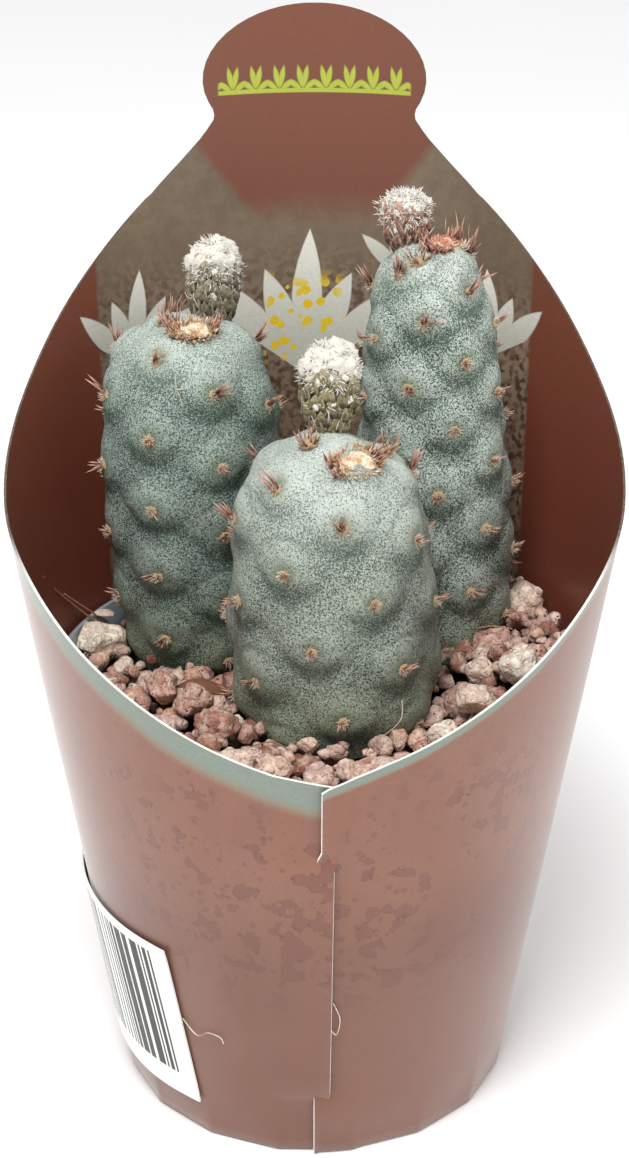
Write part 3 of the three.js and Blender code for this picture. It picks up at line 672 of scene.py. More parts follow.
def make_leaf_group():
    """Pointed leaves that fan from a point of a flat drawing, as a mask."""
    tree, given = new_group("leaf_fan", {"Vector": None, "X": 0.0, "Y": 0.0, "Step": 0.4,
                                         "Turn": 0.0, "Length": 10.0, "Width": 2.0,
                                         "Open": 1.2})
    flat = add(tree, "SeparateXYZ", {0: given["Vector"]})
    right = calc(tree, "SUBTRACT", flat.outputs[0], given["X"])
    above = calc(tree, "SUBTRACT", flat.outputs[1], given["Y"])
    angle = calc(tree, "SUBTRACT", calc(tree, "ARCTAN2", right, above), given["Turn"])
    index = calc(tree, "ROUND", calc(tree, "DIVIDE", angle, given["Step"]))
    rest = calc(tree, "SUBTRACT", angle, calc(tree, "MULTIPLY", index, given["Step"]))
    reach = calc(tree, "SQRT", calc(tree, "ADD", calc(tree, "MULTIPLY", right, right),
                                    calc(tree, "MULTIPLY", above, above)))
    odd = calc(tree, "PINGPONG", index, 1.0)
    length = calc(tree, "MULTIPLY", given["Length"], ranged(tree, odd, 0, 1, 1, 0.78))
    share = calc(tree, "DIVIDE", calc(tree, "MULTIPLY", reach, calc(tree, "COSINE", rest)),
                 length)
    away = calc(tree, "ABSOLUTE", calc(tree, "MULTIPLY", reach, calc(tree, "SINE", rest)))
    bulge = calc(tree, "MULTIPLY", share, calc(tree, "SUBTRACT", 1.0, share))
    half = calc(tree, "MULTIPLY", bulge, calc(tree, "MULTIPLY", given["Width"], 2.0))
    leaf = ranged(tree, calc(tree, "SUBTRACT", half, away), 0.0, 0.25)
    spread = calc(tree, "ABSOLUTE", calc(tree, "MULTIPLY", index, given["Step"]))
    inside = ranged(tree, spread, given["Open"], calc(tree, "ADD", given["Open"], 0.01), 1, 0)
    close_group(tree, calc(tree, "MULTIPLY", leaf, inside))


def new_material(name):
    """A material with a Principled shader, and its node tree and object coordinates."""
    material = bpy.data.materials.new(name)
    material.use_nodes = True
    tree = material.node_tree
    place = add(tree, "TexCoord").outputs["Object"]
    return material, tree, place


def dress(tree, inputs, height=None, depth=0.1):
    """Sets the Principled shader's inputs, with a bump of a depth in millimetres."""
    shader = tree.nodes["Principled BSDF"]
    if height is not None:
        bump = add(tree, "Bump", {"Height": height, "Distance": depth * MM, "Strength": 1.0})
        inputs = {**inputs, "Normal": bump.outputs[0]}
    for key, value in inputs.items():
        feed(tree, shader.inputs[key], value)


# Materials of the sleeve.

def outside_material(card):
    material, tree, place = new_material("card_outside")
    height = height_of(tree, place)
    broad = grain(tree, place, 22.0, 2.0, 0.36, 0.6)
    blots = grain(tree, place, 2.8, 4.5, 0.575, 0.59)
    halo = grain(tree, place, 2.8, 4.5, 0.562, 0.572)
    drops = pits(tree, place, 1.9, 0.24, 0.04)
    small = pits(tree, place, 1.0, 0.2, 0.06)
    rings = calc(tree, "SUBTRACT", halo, blots)
    marks = calc(tree, "MAXIMUM", calc(tree, "MAXIMUM", blots, drops),
                 calc(tree, "MULTIPLY", small, 0.7))
    marks = calc(tree, "MAXIMUM", calc(tree, "MULTIPLY", marks, 0.7),
                 calc(tree, "MULTIPLY", rings, 1.5))
    band = calc(tree, "MULTIPLY", ranged(tree, height, 20, 31), ranged(tree, broad, 0.0, 0.3))
    band = calc(tree, "MULTIPLY", band, ranged(tree, height, 52, 62, 1, 0.25))
    marks = calc(tree, "MULTIPLY", marks, band)
    fleck = grain(tree, place, 0.35, 3.0, 0.3, 0.7)
    drawn = add(tree, "Mapping", {"Vector": place, "Scale": (1, 1, 0.25)}).outputs[0]
    streak = grain(tree, drawn, 2.4, 3.0, 0.45, 0.7)
    lower = blend(tree, ranged(tree, height, 30, 46), colour_of("6f3d26"), tuple(card.outside))
    paler = blend(tree, ranged(tree, height, 50, 100, 0, 0.35), lower, colour_of("926b5a"))
    cloudy = tinge(tree, broad, 0.15, paler, colour_of("9b7563"))
    cloudy = tinge(tree, streak, 0.1, cloudy, colour_of("5f3b2c"))
    marked = tinge(tree, marks, 0.62, cloudy, tuple(card.blotch))
    speckled = tinge(tree, fleck, 0.12, marked, colour_of("5f3f33"))
    depth = attribute(tree, "depth")
    depth = calc(tree, "MULTIPLY_ADD", broad, 0.8, calc(tree, "MULTIPLY_ADD", fleck, 0.3, depth))
    inner = ranged(tree, depth, 3.5, 5.2, 1, 0)
    outer = ranged(tree, depth, 2.4, 4.8, 1, 0)
    banded = tinge(tree, inner, 0.7, speckled, colour_of("8d7454"))
    tint = tinge(tree, fleck, 0.5, colour_of("6f877f"), colour_of("8a958a"))
    banded = tinge(tree, outer, 0.82, banded, tint)
    rough = ranged(tree, marks, 0, 1, 0.46, 0.36)
    dress(tree, {"Base Color": banded, "Roughness": rough, "Coat Weight": 0.4,
                 "Coat Roughness": 0.3, "Sheen Weight": 0.46, "Sheen Roughness": 0.36},
          fleck, 0.012)
    return material


def inside_material(card):
    material, tree, place = new_material("card_inside")
    flat = add(tree, "UVMap", uv_map="card").outputs[0]
    drawing = add(tree, "VectorMath", {0: flat, "Scale": PRINT_SCALE},
                  operation="SCALE").outputs[0]
    spot = add(tree, "SeparateXYZ", {0: drawing})
    across = calc(tree, "ABSOLUTE", spot.outputs[0])
    height = spot.outputs[1]
    cloud = grain(tree, place, 16.0, 3.0, 0.3, 0.7)
    sand = grain(tree, place, 1.6, 6.0, 0.38, 0.62)
    fleck = grain(tree, place, 0.4, 3.0, 0.3, 0.7)
    ground = blend(tree, ranged(tree, height, 62, 112), colour_of("743a2b"),
                   tuple(card.inside))
    ground = tinge(tree, cloud, 0.3, ground, colour_of("70412f"))
    edge = ranged(tree, across, 30.2, 30.8, 1, 0)
    wavy = calc(tree, "MULTIPLY_ADD", cloud, 1.5, height)
    top = ranged(tree, wavy, 110.5, 112, 1, 0)
    middle = calc(tree, "MULTIPLY", ranged(tree, calc(tree, "MULTIPLY_ADD", height, -0.8, calc(
        tree, "ADD", across, 81.0)), 8, 10.5, 1, 0), ranged(tree, wavy, 98, 104))
    panel = calc(tree, "MULTIPLY", calc(tree, "MULTIPLY", edge, top),
                 calc(tree, "SUBTRACT", 1.0, middle))
    rubble = grain(tree, place, 0.8, 5.0, 0.42, 0.58)
    low_tone = blend(tree, sand, colour_of("4f3729"), colour_of("7d6552"))
    low_tone = tinge(tree, rubble, 0.55, low_tone, colour_of("ad9a86"))
    tone = blend(tree, ranged(tree, height, 86, 100), low_tone, tuple(card.panel))
    tone = tinge(tree, cloud, 0.45, tone, colour_of("5f4e3e"))
    tone = tinge(tree, sand, 0.22, tone, colour_of("4d3a2c"))
    colour = blend(tree, panel, ground, tone)
    fans = [(-1.5, 79, 0.40, 0.05, 19, 4.2, 1.15), (24.5, 84, 0.46, -0.1, 11, 3.0, 1.1),
            (-25, 83, 0.46, 0.1, 12, 2.9, 1.1), (12, 92, 0.52, 0.2, 8, 2.2, 1.3)]
    for x, y, step, turn, length, width, opening in fans:
        leaves = use_group(tree, "leaf_fan", Vector=drawing, X=x, Y=y, Step=step, Turn=turn,
                           Length=length, Width=width, Open=opening)
        shine = blend(tree, ranged(tree, height, y + 2, y + length), colour_of("c3c4b8"),
                      tuple(card.motif))
        colour = tinge(tree, leaves, 0.95, colour, shine)
    dots = pits(tree, drawing, 1700.0, 0.4, 0.06)
    near = calc(tree, "MULTIPLY", ranged(tree, calc(tree, "ABSOLUTE", calc(
        tree, "ADD", spot.outputs[0], 1.5)), 4, 6, 1, 0),
        calc(tree, "MULTIPLY", ranged(tree, height, 80, 82), ranged(tree, height, 90, 93, 1, 0)))
    colour = tinge(tree, dots, near, colour, colour_of("e3c11e"))
    spray = calc(tree, "PINGPONG", calc(tree, "ADD", spot.outputs[0], 97.5), 1.5)
    row = add(tree, "CombineXYZ", {0: spray, 1: height}).outputs[0]
    sprig = use_group(tree, "leaf_fan", Vector=row, X=0.0, Y=LEAF_ROW_HEIGHT, Step=0.75,
                      Turn=0.2, Length=3.4, Width=0.95, Open=0.8)
    above = calc(tree, "SUBTRACT", height, LEAF_ROW_HEIGHT)
    stalk = ranged(tree, calc(tree, "ABSOLUTE", above), 0.18, 0.34, 1, 0)
    garland = calc(tree, "MULTIPLY", calc(tree, "MAXIMUM", sprig, stalk),
                   ranged(tree, across, 12.2, 12.6, 1, 0))
    colour = blend(tree, garland, colour, tuple(card.ornament))
    colour = tinge(tree, fleck, 0.08, colour, colour_of("3a221a"))
    dress(tree, {"Base Color": colour, "Roughness": 0.42, "Coat Weight": 0.25,
                 "Coat Roughness": 0.3}, fleck, 0.012)
    return material


def edge_material(card):
    material, tree, place = new_material("card_cut_edge")
    fibre = grain(tree, place, 0.5, 3.0, 0.3, 0.7)
    back = ranged(tree, add(tree, "SeparateXYZ", {0: place}).outputs[1], -0.024, -0.012)
    bare = blend(tree, back, tuple(card.cut_edge), colour_of("4a3b30"))
    colour = tinge(tree, fibre, 0.25, bare, colour_of("a8988c"))
    dress(tree, {"Base Color": colour, "Roughness": 0.85}, fibre, 0.03)
    return material


# The sleeve.

def cone_radius(z):
    return SLEEVE_BASE_RADIUS + z * SLEEVE_FLARE


def sleeve_radius(azimuth, z):
    """The sleeve's outer radius, drawn in to a polygon and rounded at the base fold."""
    side = 360 / SLEEVE_SIDES
    from_middle = azimuth - side * round(azimuth / side)
    flat = math.cos(math.radians(side / 2)) / math.cos(math.radians(from_middle))
    rounding = FOLD_ROUNDING * (1 - clamp(z / FOLD_ROUNDING)) ** 2 * 0.8
    return cone_radius(z) * lerp(flat, 1, clamp(z / FOLD_HEIGHT)) - rounding


def edge_height(azimuth):
    """The height of the sleeve's top edge, up to the neck under the head."""
    away = abs((azimuth + 180) % 360 - 180)
    if away <= EDGE_AZIMUTHS[-1]:
        return EDGE_CURVE(away)
    across = cone_radius(NECK_MIDDLE) * math.sin(math.radians(away))
    return float(np.interp(-across, [-x for x in NECK_HALF_WIDTHS], NECK_HEIGHTS))


def natural_curve(xs, ys):
    """A smooth function through points, from the slopes of a Catmull-Rom curve."""
    slopes = np.gradient(np.array(ys, float), np.array(xs, float))
    slopes[0] *= START_STEEPNESS

    def value(x):
        i = int(clamp(np.searchsorted(xs, x, side="right") - 1, 0, len(xs) - 2))
        width = xs[i + 1] - xs[i]
        t = clamp((x - xs[i]) / width)
        rise = ys[i] * (1 + 2 * t) * (1 - t) ** 2 + ys[i + 1] * t * t * (3 - 2 * t)
        return rise + width * (slopes[i] * t * (1 - t) ** 2 - slopes[i + 1] * t * t * (1 - t))

    return value


EDGE_CURVE = natural_curve(EDGE_AZIMUTHS, EDGE_HEIGHTS)


def sheet_point(column, row):
    """A point of the unrolled sheet: its azimuth, height and outer radius."""
    turn = 360 * column / (SLEEVE_SIDES * COLUMNS_PER_SIDE)
    back = turn - 180
    turn += back * BACK_STRETCH * clamp((BACK_REACH - abs(back)) / BACK_EASING)
    level = LEVELS[row]
    z = level
    if level > FIXED_LEVEL:
        share = (level - FIXED_LEVEL) / (LEVELS[-1] - FIXED_LEVEL)
        z = lerp(FIXED_LEVEL, edge_height(turn), share)
    seam = float(np.interp(z, SEAM_HEIGHTS, SEAM_AZIMUTHS))
    outside = float(np.interp(z, SEAM_HEIGHTS, RIGHT_OUTSIDE))
    flap = FLAP_ANGLE * clamp((z - FLAP_START) / FLAP_RISE)
    start = seam - flap * (1 - outside)
    end = seam + flap * outside
    azimuth = turn + start * clamp(1 - turn / SEAM_REACH) + end * clamp(1 - (360 - turn)
                                                                        / SEAM_REACH)
    easing = LAP_ANGLE - FLAP_ANGLE
    raised = outside * clamp((LAP_ANGLE - turn) / easing)
    raised += (1 - outside) * clamp((LAP_ANGLE - (360 - turn)) / easing)
    raised += outside * CURL * clamp(1 - turn / CURL_ANGLE) ** 2
    raised += (1 - outside) * CURL * clamp(1 - (360 - turn) / CURL_ANGLE) ** 2
    ripple = RIPPLE * noise.noise(polar(azimuth, 0.05 * cone_radius(z), z * 0.045))
    radius = sleeve_radius(azimuth, z) + raised * LAP_LIFT + ripple * clamp(z / RIPPLE_RISE)
    return azimuth, z, radius


def raise_head(bm, edges):
    """Grows the neck and the oval head from the top edges of the back."""
    oval = [(HEAD_CENTRE + HEAD_HALF_HEIGHT * math.sin(math.radians(angle)),
             HEAD_HALF_WIDTH * math.cos(math.radians(angle))) for angle in HEAD_ANGLES]
    for z, half in (*THROAT, *oval):
        verts, edges = grow(bm, edges)
        row = max(abs(vert.co.x) for vert in verts)
        for vert in verts:
            x = vert.co.x / row * half
            vert.co = (x, math.sqrt(cone_radius(z) ** 2 - x * x), z)


def fold_tabs(bm, bottom):
    """Folds one tapered tab inwards from the bottom edges of each side."""
    side = 360 / SLEEVE_SIDES
    apothem = SLEEVE_BASE_RADIUS * math.cos(math.radians(side / 2))
    half = apothem * math.tan(math.radians(side / 2))
    inner = apothem - TAB_LENGTH
    inner_half = inner * math.tan(math.radians(side / 2)) - TAB_TAPER
    for (index, _), edges in bottom.items():
        facing = polar(index * side, 1, 0)
        along = UP.cross(facing)
        for vert in grow(bm, edges)[0]:
            across = vert.co.dot(along)
            vert.co = facing * inner + along * across * inner_half / half


def make_sleeve(card):
    columns = SLEEVE_SIDES * COLUMNS_PER_SIDE
    rows = len(LEVELS) - 1
    bm = bmesh.new()
    depth = bm.verts.layers.float.new("depth")
    bmesh.ops.create_grid(bm, x_segments=columns, y_segments=rows, size=1)
    cells = {vert: (round((vert.co.x + 1) / 2 * columns), round((vert.co.y + 1) / 2 * rows))
             for vert in bm.verts}
    slant = math.degrees(math.asin(NECK_HALF_WIDTHS[-1] / cone_radius(NECK_HEIGHTS[-1])))
    neck = round((180 - slant) / 360 * columns)
    bottom, back = {}, []
    for edge in bm.edges:
        (c0, r0), (c1, r1) = (cells[vert] for vert in edge.verts)
        middle = (c0 + c1) / 2
        if r0 == r1 == 0:
            half = round(middle / COLUMNS_PER_SIDE)
            bottom.setdefault((half % SLEEVE_SIDES, middle > columns / 2), []).append(edge)
        if r0 == r1 == rows and neck < middle < columns - neck:
            back.append(edge)
    for vert, (column, row) in cells.items():
        azimuth, z, radius = sheet_point(column, row)
        vert.co = polar(azimuth, radius, z)
    for vert, (column, row) in cells.items():
        turn = math.degrees(math.atan2(vert.co.x, -vert.co.y))
        wide = BAND_DEPTHS[0] / BAND_DEPTHS[column < columns / 2]
        away = (edge_height(turn) - vert.co.z) * wide
        vert[depth] = away if abs(turn) < BAND_END else NO_BAND
    raise_head(bm, back)
    fold_tabs(bm, bottom)
    sheet = bm.loops.layers.uv.new("card")
    for face in bm.faces:
        middle = face.calc_center_median()
        for loop in face.loops:
            x, y, z = loop.vert.co
            turn = math.atan2(x, y)
            if abs(turn) > 3 and turn * middle.x < 0:
                turn -= math.copysign(2 * math.pi, turn)
            loop[sheet].uv = (turn * cone_radius(z) / PRINT_SCALE, z / PRINT_SCALE)
    bmesh.ops.recalc_face_normals(bm, faces=bm.faces)
    if bm.faces[0].normal.dot(bm.faces[0].calc_center_median()) < 0:
        bmesh.ops.reverse_faces(bm, faces=bm.faces)
    materials = [outside_material(card), inside_material(card), edge_material(card)]
    piece = finish_piece("sleeve_card", bm, materials, "sleeve")
    thicken(piece, SHEET, use_even_offset=True, material_offset=1, material_offset_rim=2)


def settle(piece, sharp):
    """Applies a piece's modifiers and marks its sharp edges."""
    graph = bpy.context.evaluated_depsgraph_get()
    mesh = bpy.data.meshes.new_from_object(piece.evaluated_get(graph), depsgraph=graph)
    old = piece.data
    piece.modifiers.clear()
    piece.data = mesh
    bpy.data.meshes.remove(old)
    mesh.name = piece.name
    mesh.set_sharp_from_angle(angle=math.radians(sharp))


def thicken(piece, thickness, **settings):
    """Gives a sheet a thickness in millimetres, inwards from its surface."""
    wall = piece.modifiers.new("thickness", "SOLIDIFY")
    wall.thickness = thickness * MM
    wall.offset = -1
    for key, value in settings.items():
        setattr(wall, key, value)
    settle(piece, 40)


# The barcode sticker.

def label_material():
    material, tree, place = new_material("label_paper")
    flat = add(tree, "UVMap", uv_map="sheet").outputs[0]
    spot = add(tree, "SeparateXYZ", {0: flat})
    cell = calc(tree, "FLOOR", calc(tree, "MULTIPLY", spot.outputs[0], 104.0))
    odds = add(tree, "TexWhiteNoise", {"W": cell}, noise_dimensions="1D").outputs[0]
    gap = calc(tree, "LESS_THAN", calc(tree, "MODULO", cell, 5.0), 3.5)
    bars = calc(tree, "MULTIPLY", calc(tree, "GREATER_THAN", odds, 0.36), gap)
    wide = calc(tree, "MULTIPLY", ranged(tree, spot.outputs[0], 0.05, 0.052),
                ranged(tree, spot.outputs[0], 0.93, 0.932, 1, 0))
    tall = calc(tree, "MULTIPLY", ranged(tree, spot.outputs[1], 0.15, 0.153),
                ranged(tree, spot.outputs[1], 0.95, 0.953, 1, 0))
    ink = calc(tree, "MULTIPLY", bars, calc(tree, "MULTIPLY", wide, tall))
    fibre = grain(tree, place, 0.6, 4.0, 0.3, 0.7)
    paper = tinge(tree, fibre, 0.3, colour_of("f3f3ef"), colour_of("e4e3dd"))
    dress(tree, {"Base Color": blend(tree, ink, paper, colour_of("2b2c2b")),
                 "Roughness": ranged(tree, fibre, 0, 1, 0.32, 0.42)}, fibre, 0.01)
    return material


def make_label():
    bm = bmesh.new()
    bmesh.ops.create_grid(bm, x_segments=48, y_segments=12, size=1, calc_uvs=False)
    sheet = bm.loops.layers.uv.new("sheet")
    for face in bm.faces:
        for loop in face.loops:
            loop[sheet].uv = ((loop.vert.co.x + 1) / 2, (loop.vert.co.y + 1) / 2)
    for vert in bm.verts:
        along, up = (1 - vert.co.x) / 2, (vert.co.y + 1) / 2
        azimuth = LABEL["right"] - along * LABEL["span"] - (up - 0.5) * LABEL["lean"]
        z = lerp(LABEL["low"], LABEL["high"], up)
        corner = min(along, 1 - along) + min(up, 1 - up)
        curl = LABEL_CURL * clamp(1 - corner / LABEL_CORNER) ** 2
        lift = LABEL_GAP + LABEL["thickness"] + curl
        vert.co = polar(azimuth, sleeve_radius(azimuth, z) + lift, z)
    piece = finish_piece("label_sticker", bm, [label_material()], "label")
    thicken(piece, LABEL["thickness"])


# The pot, the soil and the gravel.

def plastic_material(ground):
    material, tree, place = new_material("pot_plastic")
    broad = grain(tree, place, 9.0, 3.0, 0.35, 0.65)
    fine = grain(tree, place, 0.5, 3.0, 0.3, 0.7)
    dust = grain(tree, place, 2.4, 5.0, 0.52, 0.75)
    colour = tinge(tree, broad, 0.4, tuple(ground.pot), colour_of("545d66"))
    colour = tinge(tree, dust, 0.35, colour, colour_of("8c8179"))
    # The rim is painted pale grey over the dark body, partly a painted highlight on its lip.
    rim = ranged(tree, height_of(tree, place), 50.4, 53.4)
    colour = blend(tree, rim, colour, colour_of("8f969b"))
    dress(tree, {"Base Color": colour, "Roughness": ranged(tree, dust, 0, 1, 0.42, 0.7)},
          fine, 0.02)
    return material


def make_pot(ground):
    piece = finish_piece("pot_body", spun(POT_PROFILE, POT_STEPS), [plastic_material(ground)],
                         "pot")
    holes = bmesh.new()
    for index in range(DRAIN_COUNT):
        place = Matrix.Translation(polar(index * 360 / DRAIN_COUNT, DRAIN_CIRCLE, POT_STAND))
        bmesh.ops.create_cone(holes, cap_ends=True, segments=32, radius1=DRAIN_RADIUS,
                              radius2=DRAIN_RADIUS, depth=4, matrix=place)
    mesh = mesh_of("drains", holes)
    mesh.transform(TO_FRAME)
    drains = link_object("drains", mesh)
    cut = piece.modifiers.new("drains", "BOOLEAN")
    cut.object = drains
    cut.operation = "DIFFERENCE"
    cut.solver = "EXACT"
    settle(piece, 35)
    bpy.data.objects.remove(drains)
    bpy.data.meshes.remove(mesh)


def soil_material(ground):
    material, tree, place = new_material("soil_peat")
    crumbs = grain(tree, place, 1.4, 6.0, 0.35, 0.65)
    bits = pits(tree, place, 2.4, 0.08, 0.1)
    colour = blend(tree, crumbs, tuple(ground.soil), colour_of("4a382c"))
    colour = tinge(tree, bits, 0.6, colour, colour_of("7b6552"))
    dress(tree, {"Base Color": colour, "Roughness": 0.95}, crumbs, 0.5)
    return material


def stone_material(ground):
    material, tree, place = new_material("gravel_lava")
    tone = attribute(tree, "tone")
    lava = ranged(tree, tone, 0.62, 0.72, 1, 0.25)
    # Painted shade: the stones are painted darker low down, in the gaps towards the bed.
    gap_shade = ranged(tree, attribute(tree, "along"), 0.1, 0.75, 0.65, 0)
    holes = pits(tree, place, 0.9, 0.17, 0.1)
    small = pits(tree, place, 0.42, 0.17, 0.12)
    crust = grain(tree, place, 0.8, 6.0, 0.4, 0.6)
    dust = grain(tree, place, 1.7, 4.0, 0.44, 0.6)
    body = stops(tree, tone, (0.0, colour_of("2a1712")), (0.08, colour_of("74433a")),
                 (0.2, colour_of("94604f")), (0.36, colour_of("bf8e7c")),
                 (0.52, tuple(ground.stone)), (0.64, colour_of("dcc2b7")),
                 (0.74, colour_of("d3a286")), (0.84, colour_of("efd5c2")),
                 (0.93, colour_of("f6e9d2")), (1.0, colour_of("f8f1e0")))
    body = tinge(tree, crust, 0.35, body, colour_of("74483a"))
    body = tinge(tree, dust, 0.45, body, colour_of("efd6c4"))
    pitted = calc(tree, "MULTIPLY", calc(tree, "MAXIMUM", holes, calc(
        tree, "MULTIPLY", small, 0.8)), lava)
    # Painted shade: the pores are painted dark as well as bumped in.
    body = tinge(tree, pitted, 0.8, body, colour_of("341c15"))
    body = blend(tree, gap_shade, body, colour_of("22130e"))
    # Painted shade: the bed under the stones, of tone 0, is painted nearly black.
    body = blend(tree, ranged(tree, tone, 0.0, 0.05, 1, 0), body, colour_of("2a1a14"))
    relief = calc(tree, "MULTIPLY_ADD", pitted, -1.2, calc(tree, "MULTIPLY", crust, 0.8))
    dress(tree, {"Base Color": body, "Roughness": 0.9}, relief, 0.25)
    return material


def lean_at(z):
    """How far a stem has leaned over at a height."""
    return LEAN * max(0, z - LEAN_START)


def heaped(place):
    """How high the gravel is heaped at a place, as a share of the heap's full height."""
    share = clamp((polar(HEAP_AZIMUTH, 1, 0).xy.dot(place.xy) - HEAP_START)
                  / (HEAP_END - HEAP_START))
    return share * share * (3 - 2 * share)


def set_on_heap(spot):
    """Moves a stone's place up and outwards with the heap."""
    heap = heaped(spot)
    spot.x *= 1 + heap * HEAP_SPREAD
    spot.z += heap * HEAP_HEIGHT


def middle_at(stem, z):
    """The middle of a leaning stem at a height."""
    return Vector(stem["place"]) + Vector((lean_at(z), 0))


def main_stones(taken):
    """The big stones' places: clear of the stems, of one another and of those taken."""
    draw, tones = seeded(5), seeded(6)
    places = []
    for _ in range(STONE_TRIES):
        if len(places) == STONE_COUNT:
            break
        radius = lerp(*STONE_RADII, draw())
        azimuth = draw() * 360
        distance = math.sqrt(draw()) * (STONE_REACH - radius)
        spot = polar(azimuth, distance, BED_TOP + radius * lerp(0.35, 0.75, draw()))
        set_on_heap(spot)
        if is_free(spot, radius, places, 0.9, 0.62):
            places.append((spot, radius, lerp(0.1, 1, tones())))
    return [place for place in places if is_free(place[0], place[1], taken, 0.7, 0)]


def is_free(spot, radius, places, spacing, share):
    """Whether a stone keeps its distance from the others and from the stems."""
    for other, other_radius, _ in places:
        if (other.xy - spot.xy).length <= spacing * (other_radius + radius):
            return False
    return all((Vector(stem["place"]) - spot.xy).length
               > stem["profile"][-2][0] + share * radius for stem in STEMS.values())


def filler_stones(places, count, radii, seed):
    """Smaller stones in the gaps between others, at seeded heights."""
    draw = seeded(seed)
    fillers = []
    for _ in range(STONE_TRIES):
        if len(fillers) == count:
            break
        radius = lerp(*radii, draw())
        spot = polar(draw() * 360, math.sqrt(draw()) * (STONE_REACH - radius),
                     BED_TOP + draw(0.6, 3.1))
        set_on_heap(spot)
        if is_free(spot, radius, places, 0.55, 0.5) and is_free(spot, radius, fillers, 0.8, 0.5):
            fillers.append((spot, radius, draw(0.12, 0.8)))
    return fillers


def keep_inside(bm):
    """Draws gravel corners in from the pot and the sleeve and away from the stems."""
    for vert in bm.verts:
        flat = vert.co.xy
        over = vert.co.z > RIM_TOP + 0.2
        limit = cone_radius(vert.co.z) - CARD - SLEEVE_CLEARANCE if over else STONE_LIMIT
        if flat.length > limit:
            vert.co.xy = flat * (limit / flat.length)
        for stem in STEMS.values():
            centre = middle_at(stem, vert.co.z)
            away = vert.co.xy - centre
            limit = outline_radius(stem, vert.co.z) + STEM_MARGIN
            if away.length < limit:
                vert.co.xy = centre + away.normalized() * limit


def make_gravel(ground):
    bm = bmesh.new()
    coarse = [chunk(f"stone_{i}", 4, i + 1) for i in range(6)]
    coarse += [lump(f"lava_{i}", 4, i + 1, 0.4, 1.3, 0.1) for i in range(3)]
    middle = [chunk(f"pebble_{i}", 3, i + 21) for i in range(5)]
    grit = [chunk(f"grit_{i}", 2, i + 41) for i in range(4)]
    landmarks = [(Vector(spot), radius, tone) for spot, radius, tone in LANDMARKS]
    places = landmarks + main_stones(landmarks)
    fillers = filler_stones(places, FILLER_COUNT, FILLER_RADII, 77)
    crumbs = filler_stones(places + fillers, CRUMB_COUNT, CRUMB_RADII, 78)
    draw = seeded(301)
    for templates, stones in ((coarse, places), (middle, fillers), (grit, crumbs)):
        for i, (spot, radius, tone) in enumerate(stones):
            size = Matrix.Diagonal((draw(0.88, 1.14), draw(0.88, 1.14), draw(0.78, 1), 1))
            turn = Matrix.Rotation(draw(*ANY_ROLL), 4, "Z")
            turn = turn @ Matrix.Rotation(draw(*ANY_ROLL), 4, "X")
            scale = radius * (STONE_SHRINK if templates is coarse else 1)
            place = Matrix.Translation(spot) @ size @ turn @ Matrix.Scale(scale, 4)
            plant(bm, templates[i % len(templates)], place, tone)
    keep_inside(bm)
    tone, along = (bm.verts.layers.float[key] for key in ("tone", "along"))
    # Height above the bed, by which the stones are painted darker low down: painted shade between
    # them.
    for vert in bm.verts:
        above = vert.co.z - BED_TOP - heaped(vert.co) * HEAP_HEIGHT
        vert[along] = clamp(above / SHADED_HEIGHT)
    # A plate under the stones, given tone 0 and so painted nearly black: painted shade in the
    # gaps.
    bed = spun([(0, BED_TOP - 1.3), (BED_RADIUS, BED_TOP - 1.3)]
               + [(BED_RADIUS * (1 - i / 8), BED_TOP - 0.5) for i in range(9)], BED_STEPS)
    for vert in bed.verts:
        if vert.co.z > BED_TOP - 1:
            vert.co.z += heaped(vert.co) * HEAP_HEIGHT
    start = len(bm.verts)
    take_in(bm, bed)
    bm.verts.ensure_lookup_table()
    for vert in bm.verts[start:]:
        vert[tone] = 0
    finish_piece("gravel_stones", bm, [stone_material(ground)], "gravel")
    for template in coarse + middle + grit:
        bpy.data.meshes.remove(template)


# The stems.

def stem_curve(stem):
    if "curve" not in stem:
        stem["curve"] = smooth_curve(stem["profile"], OUTLINE_POINTS)
    return stem["curve"]


def outline_height(stem, place):
    """The height of a stem's smooth outline above a place, from the stem's middle."""
    top = stem_curve(stem)[:OUTLINE_TOP]
    return float(np.interp(math.hypot(*place), [point.x for point in top],
                           [point.y for point in top]))


def outline_radius(stem, z):
    """The radius of a stem's smooth outline at a height."""
    curve = stem_curve(stem)
    if z <= curve[-1].y:
        return float(np.interp(z, (FOOT_BOTTOM, FOOT_TOP, curve[-1].y),
                               (FOOT_RADIUS, FOOT_RADIUS, curve[-1].x)))
    heights = [-point.y for point in curve]
    return float(np.interp(-z, heights, [point.x for point in curve]))


def tubercles(stem):
    """The places of a stem's areoles on their spiral, from the top down."""
    first, angle, rise, turn = stem["spiral"]
    count = int((first - stem["profile"][-1][1]) / rise) + 1
    return [(angle + i * turn, first - i * rise) for i in range(count)]


def on_stem(stem, point):
    """A point about a stem's middle, set in its place on the leaning stem."""
    return Vector((point.x + stem["place"][0] + lean_at(point.z),
                   point.y + stem["place"][1], point.z))


def areoles(stem):
    """Index, place and outward direction of each areole that shows."""
    found = []
    bud, crown = stem["bud"], stem["crown"]
    for index, (azimuth, z) in enumerate(tubercles(stem)):
        radius = outline_radius(stem, z)
        slope = outline_radius(stem, z + 0.5) - outline_radius(stem, z - 0.5)
        spot = polar(azimuth, radius + RELIEF - SINK, z)
        normal = polar(azimuth, 1, -slope).normalized()
        by_bud = (spot.xy - Vector(bud["place"])).length < bud["radius"] + 1.4
        by_crown = (spot.xy - Vector(crown["place"])).length < crown["length"] / 2 + 1
        if z > LOWEST_AREOLE and not by_bud and not by_crown:
            found.append((index, on_stem(stem, spot), normal))
    return found


def has_room(stem, tip):
    """Whether a tip stays clear of the other stems and of the sleeve."""
    for other in STEMS.values():
        if other is stem or tip.z > other["profile"][0][1]:
            continue
        if (tip.xy - middle_at(other, tip.z)).length < outline_radius(other, tip.z) + SPINE_GAP:
            return False
    return tip.xy.length < cone_radius(tip.z) - CARD - SLEEVE_CLEARANCE


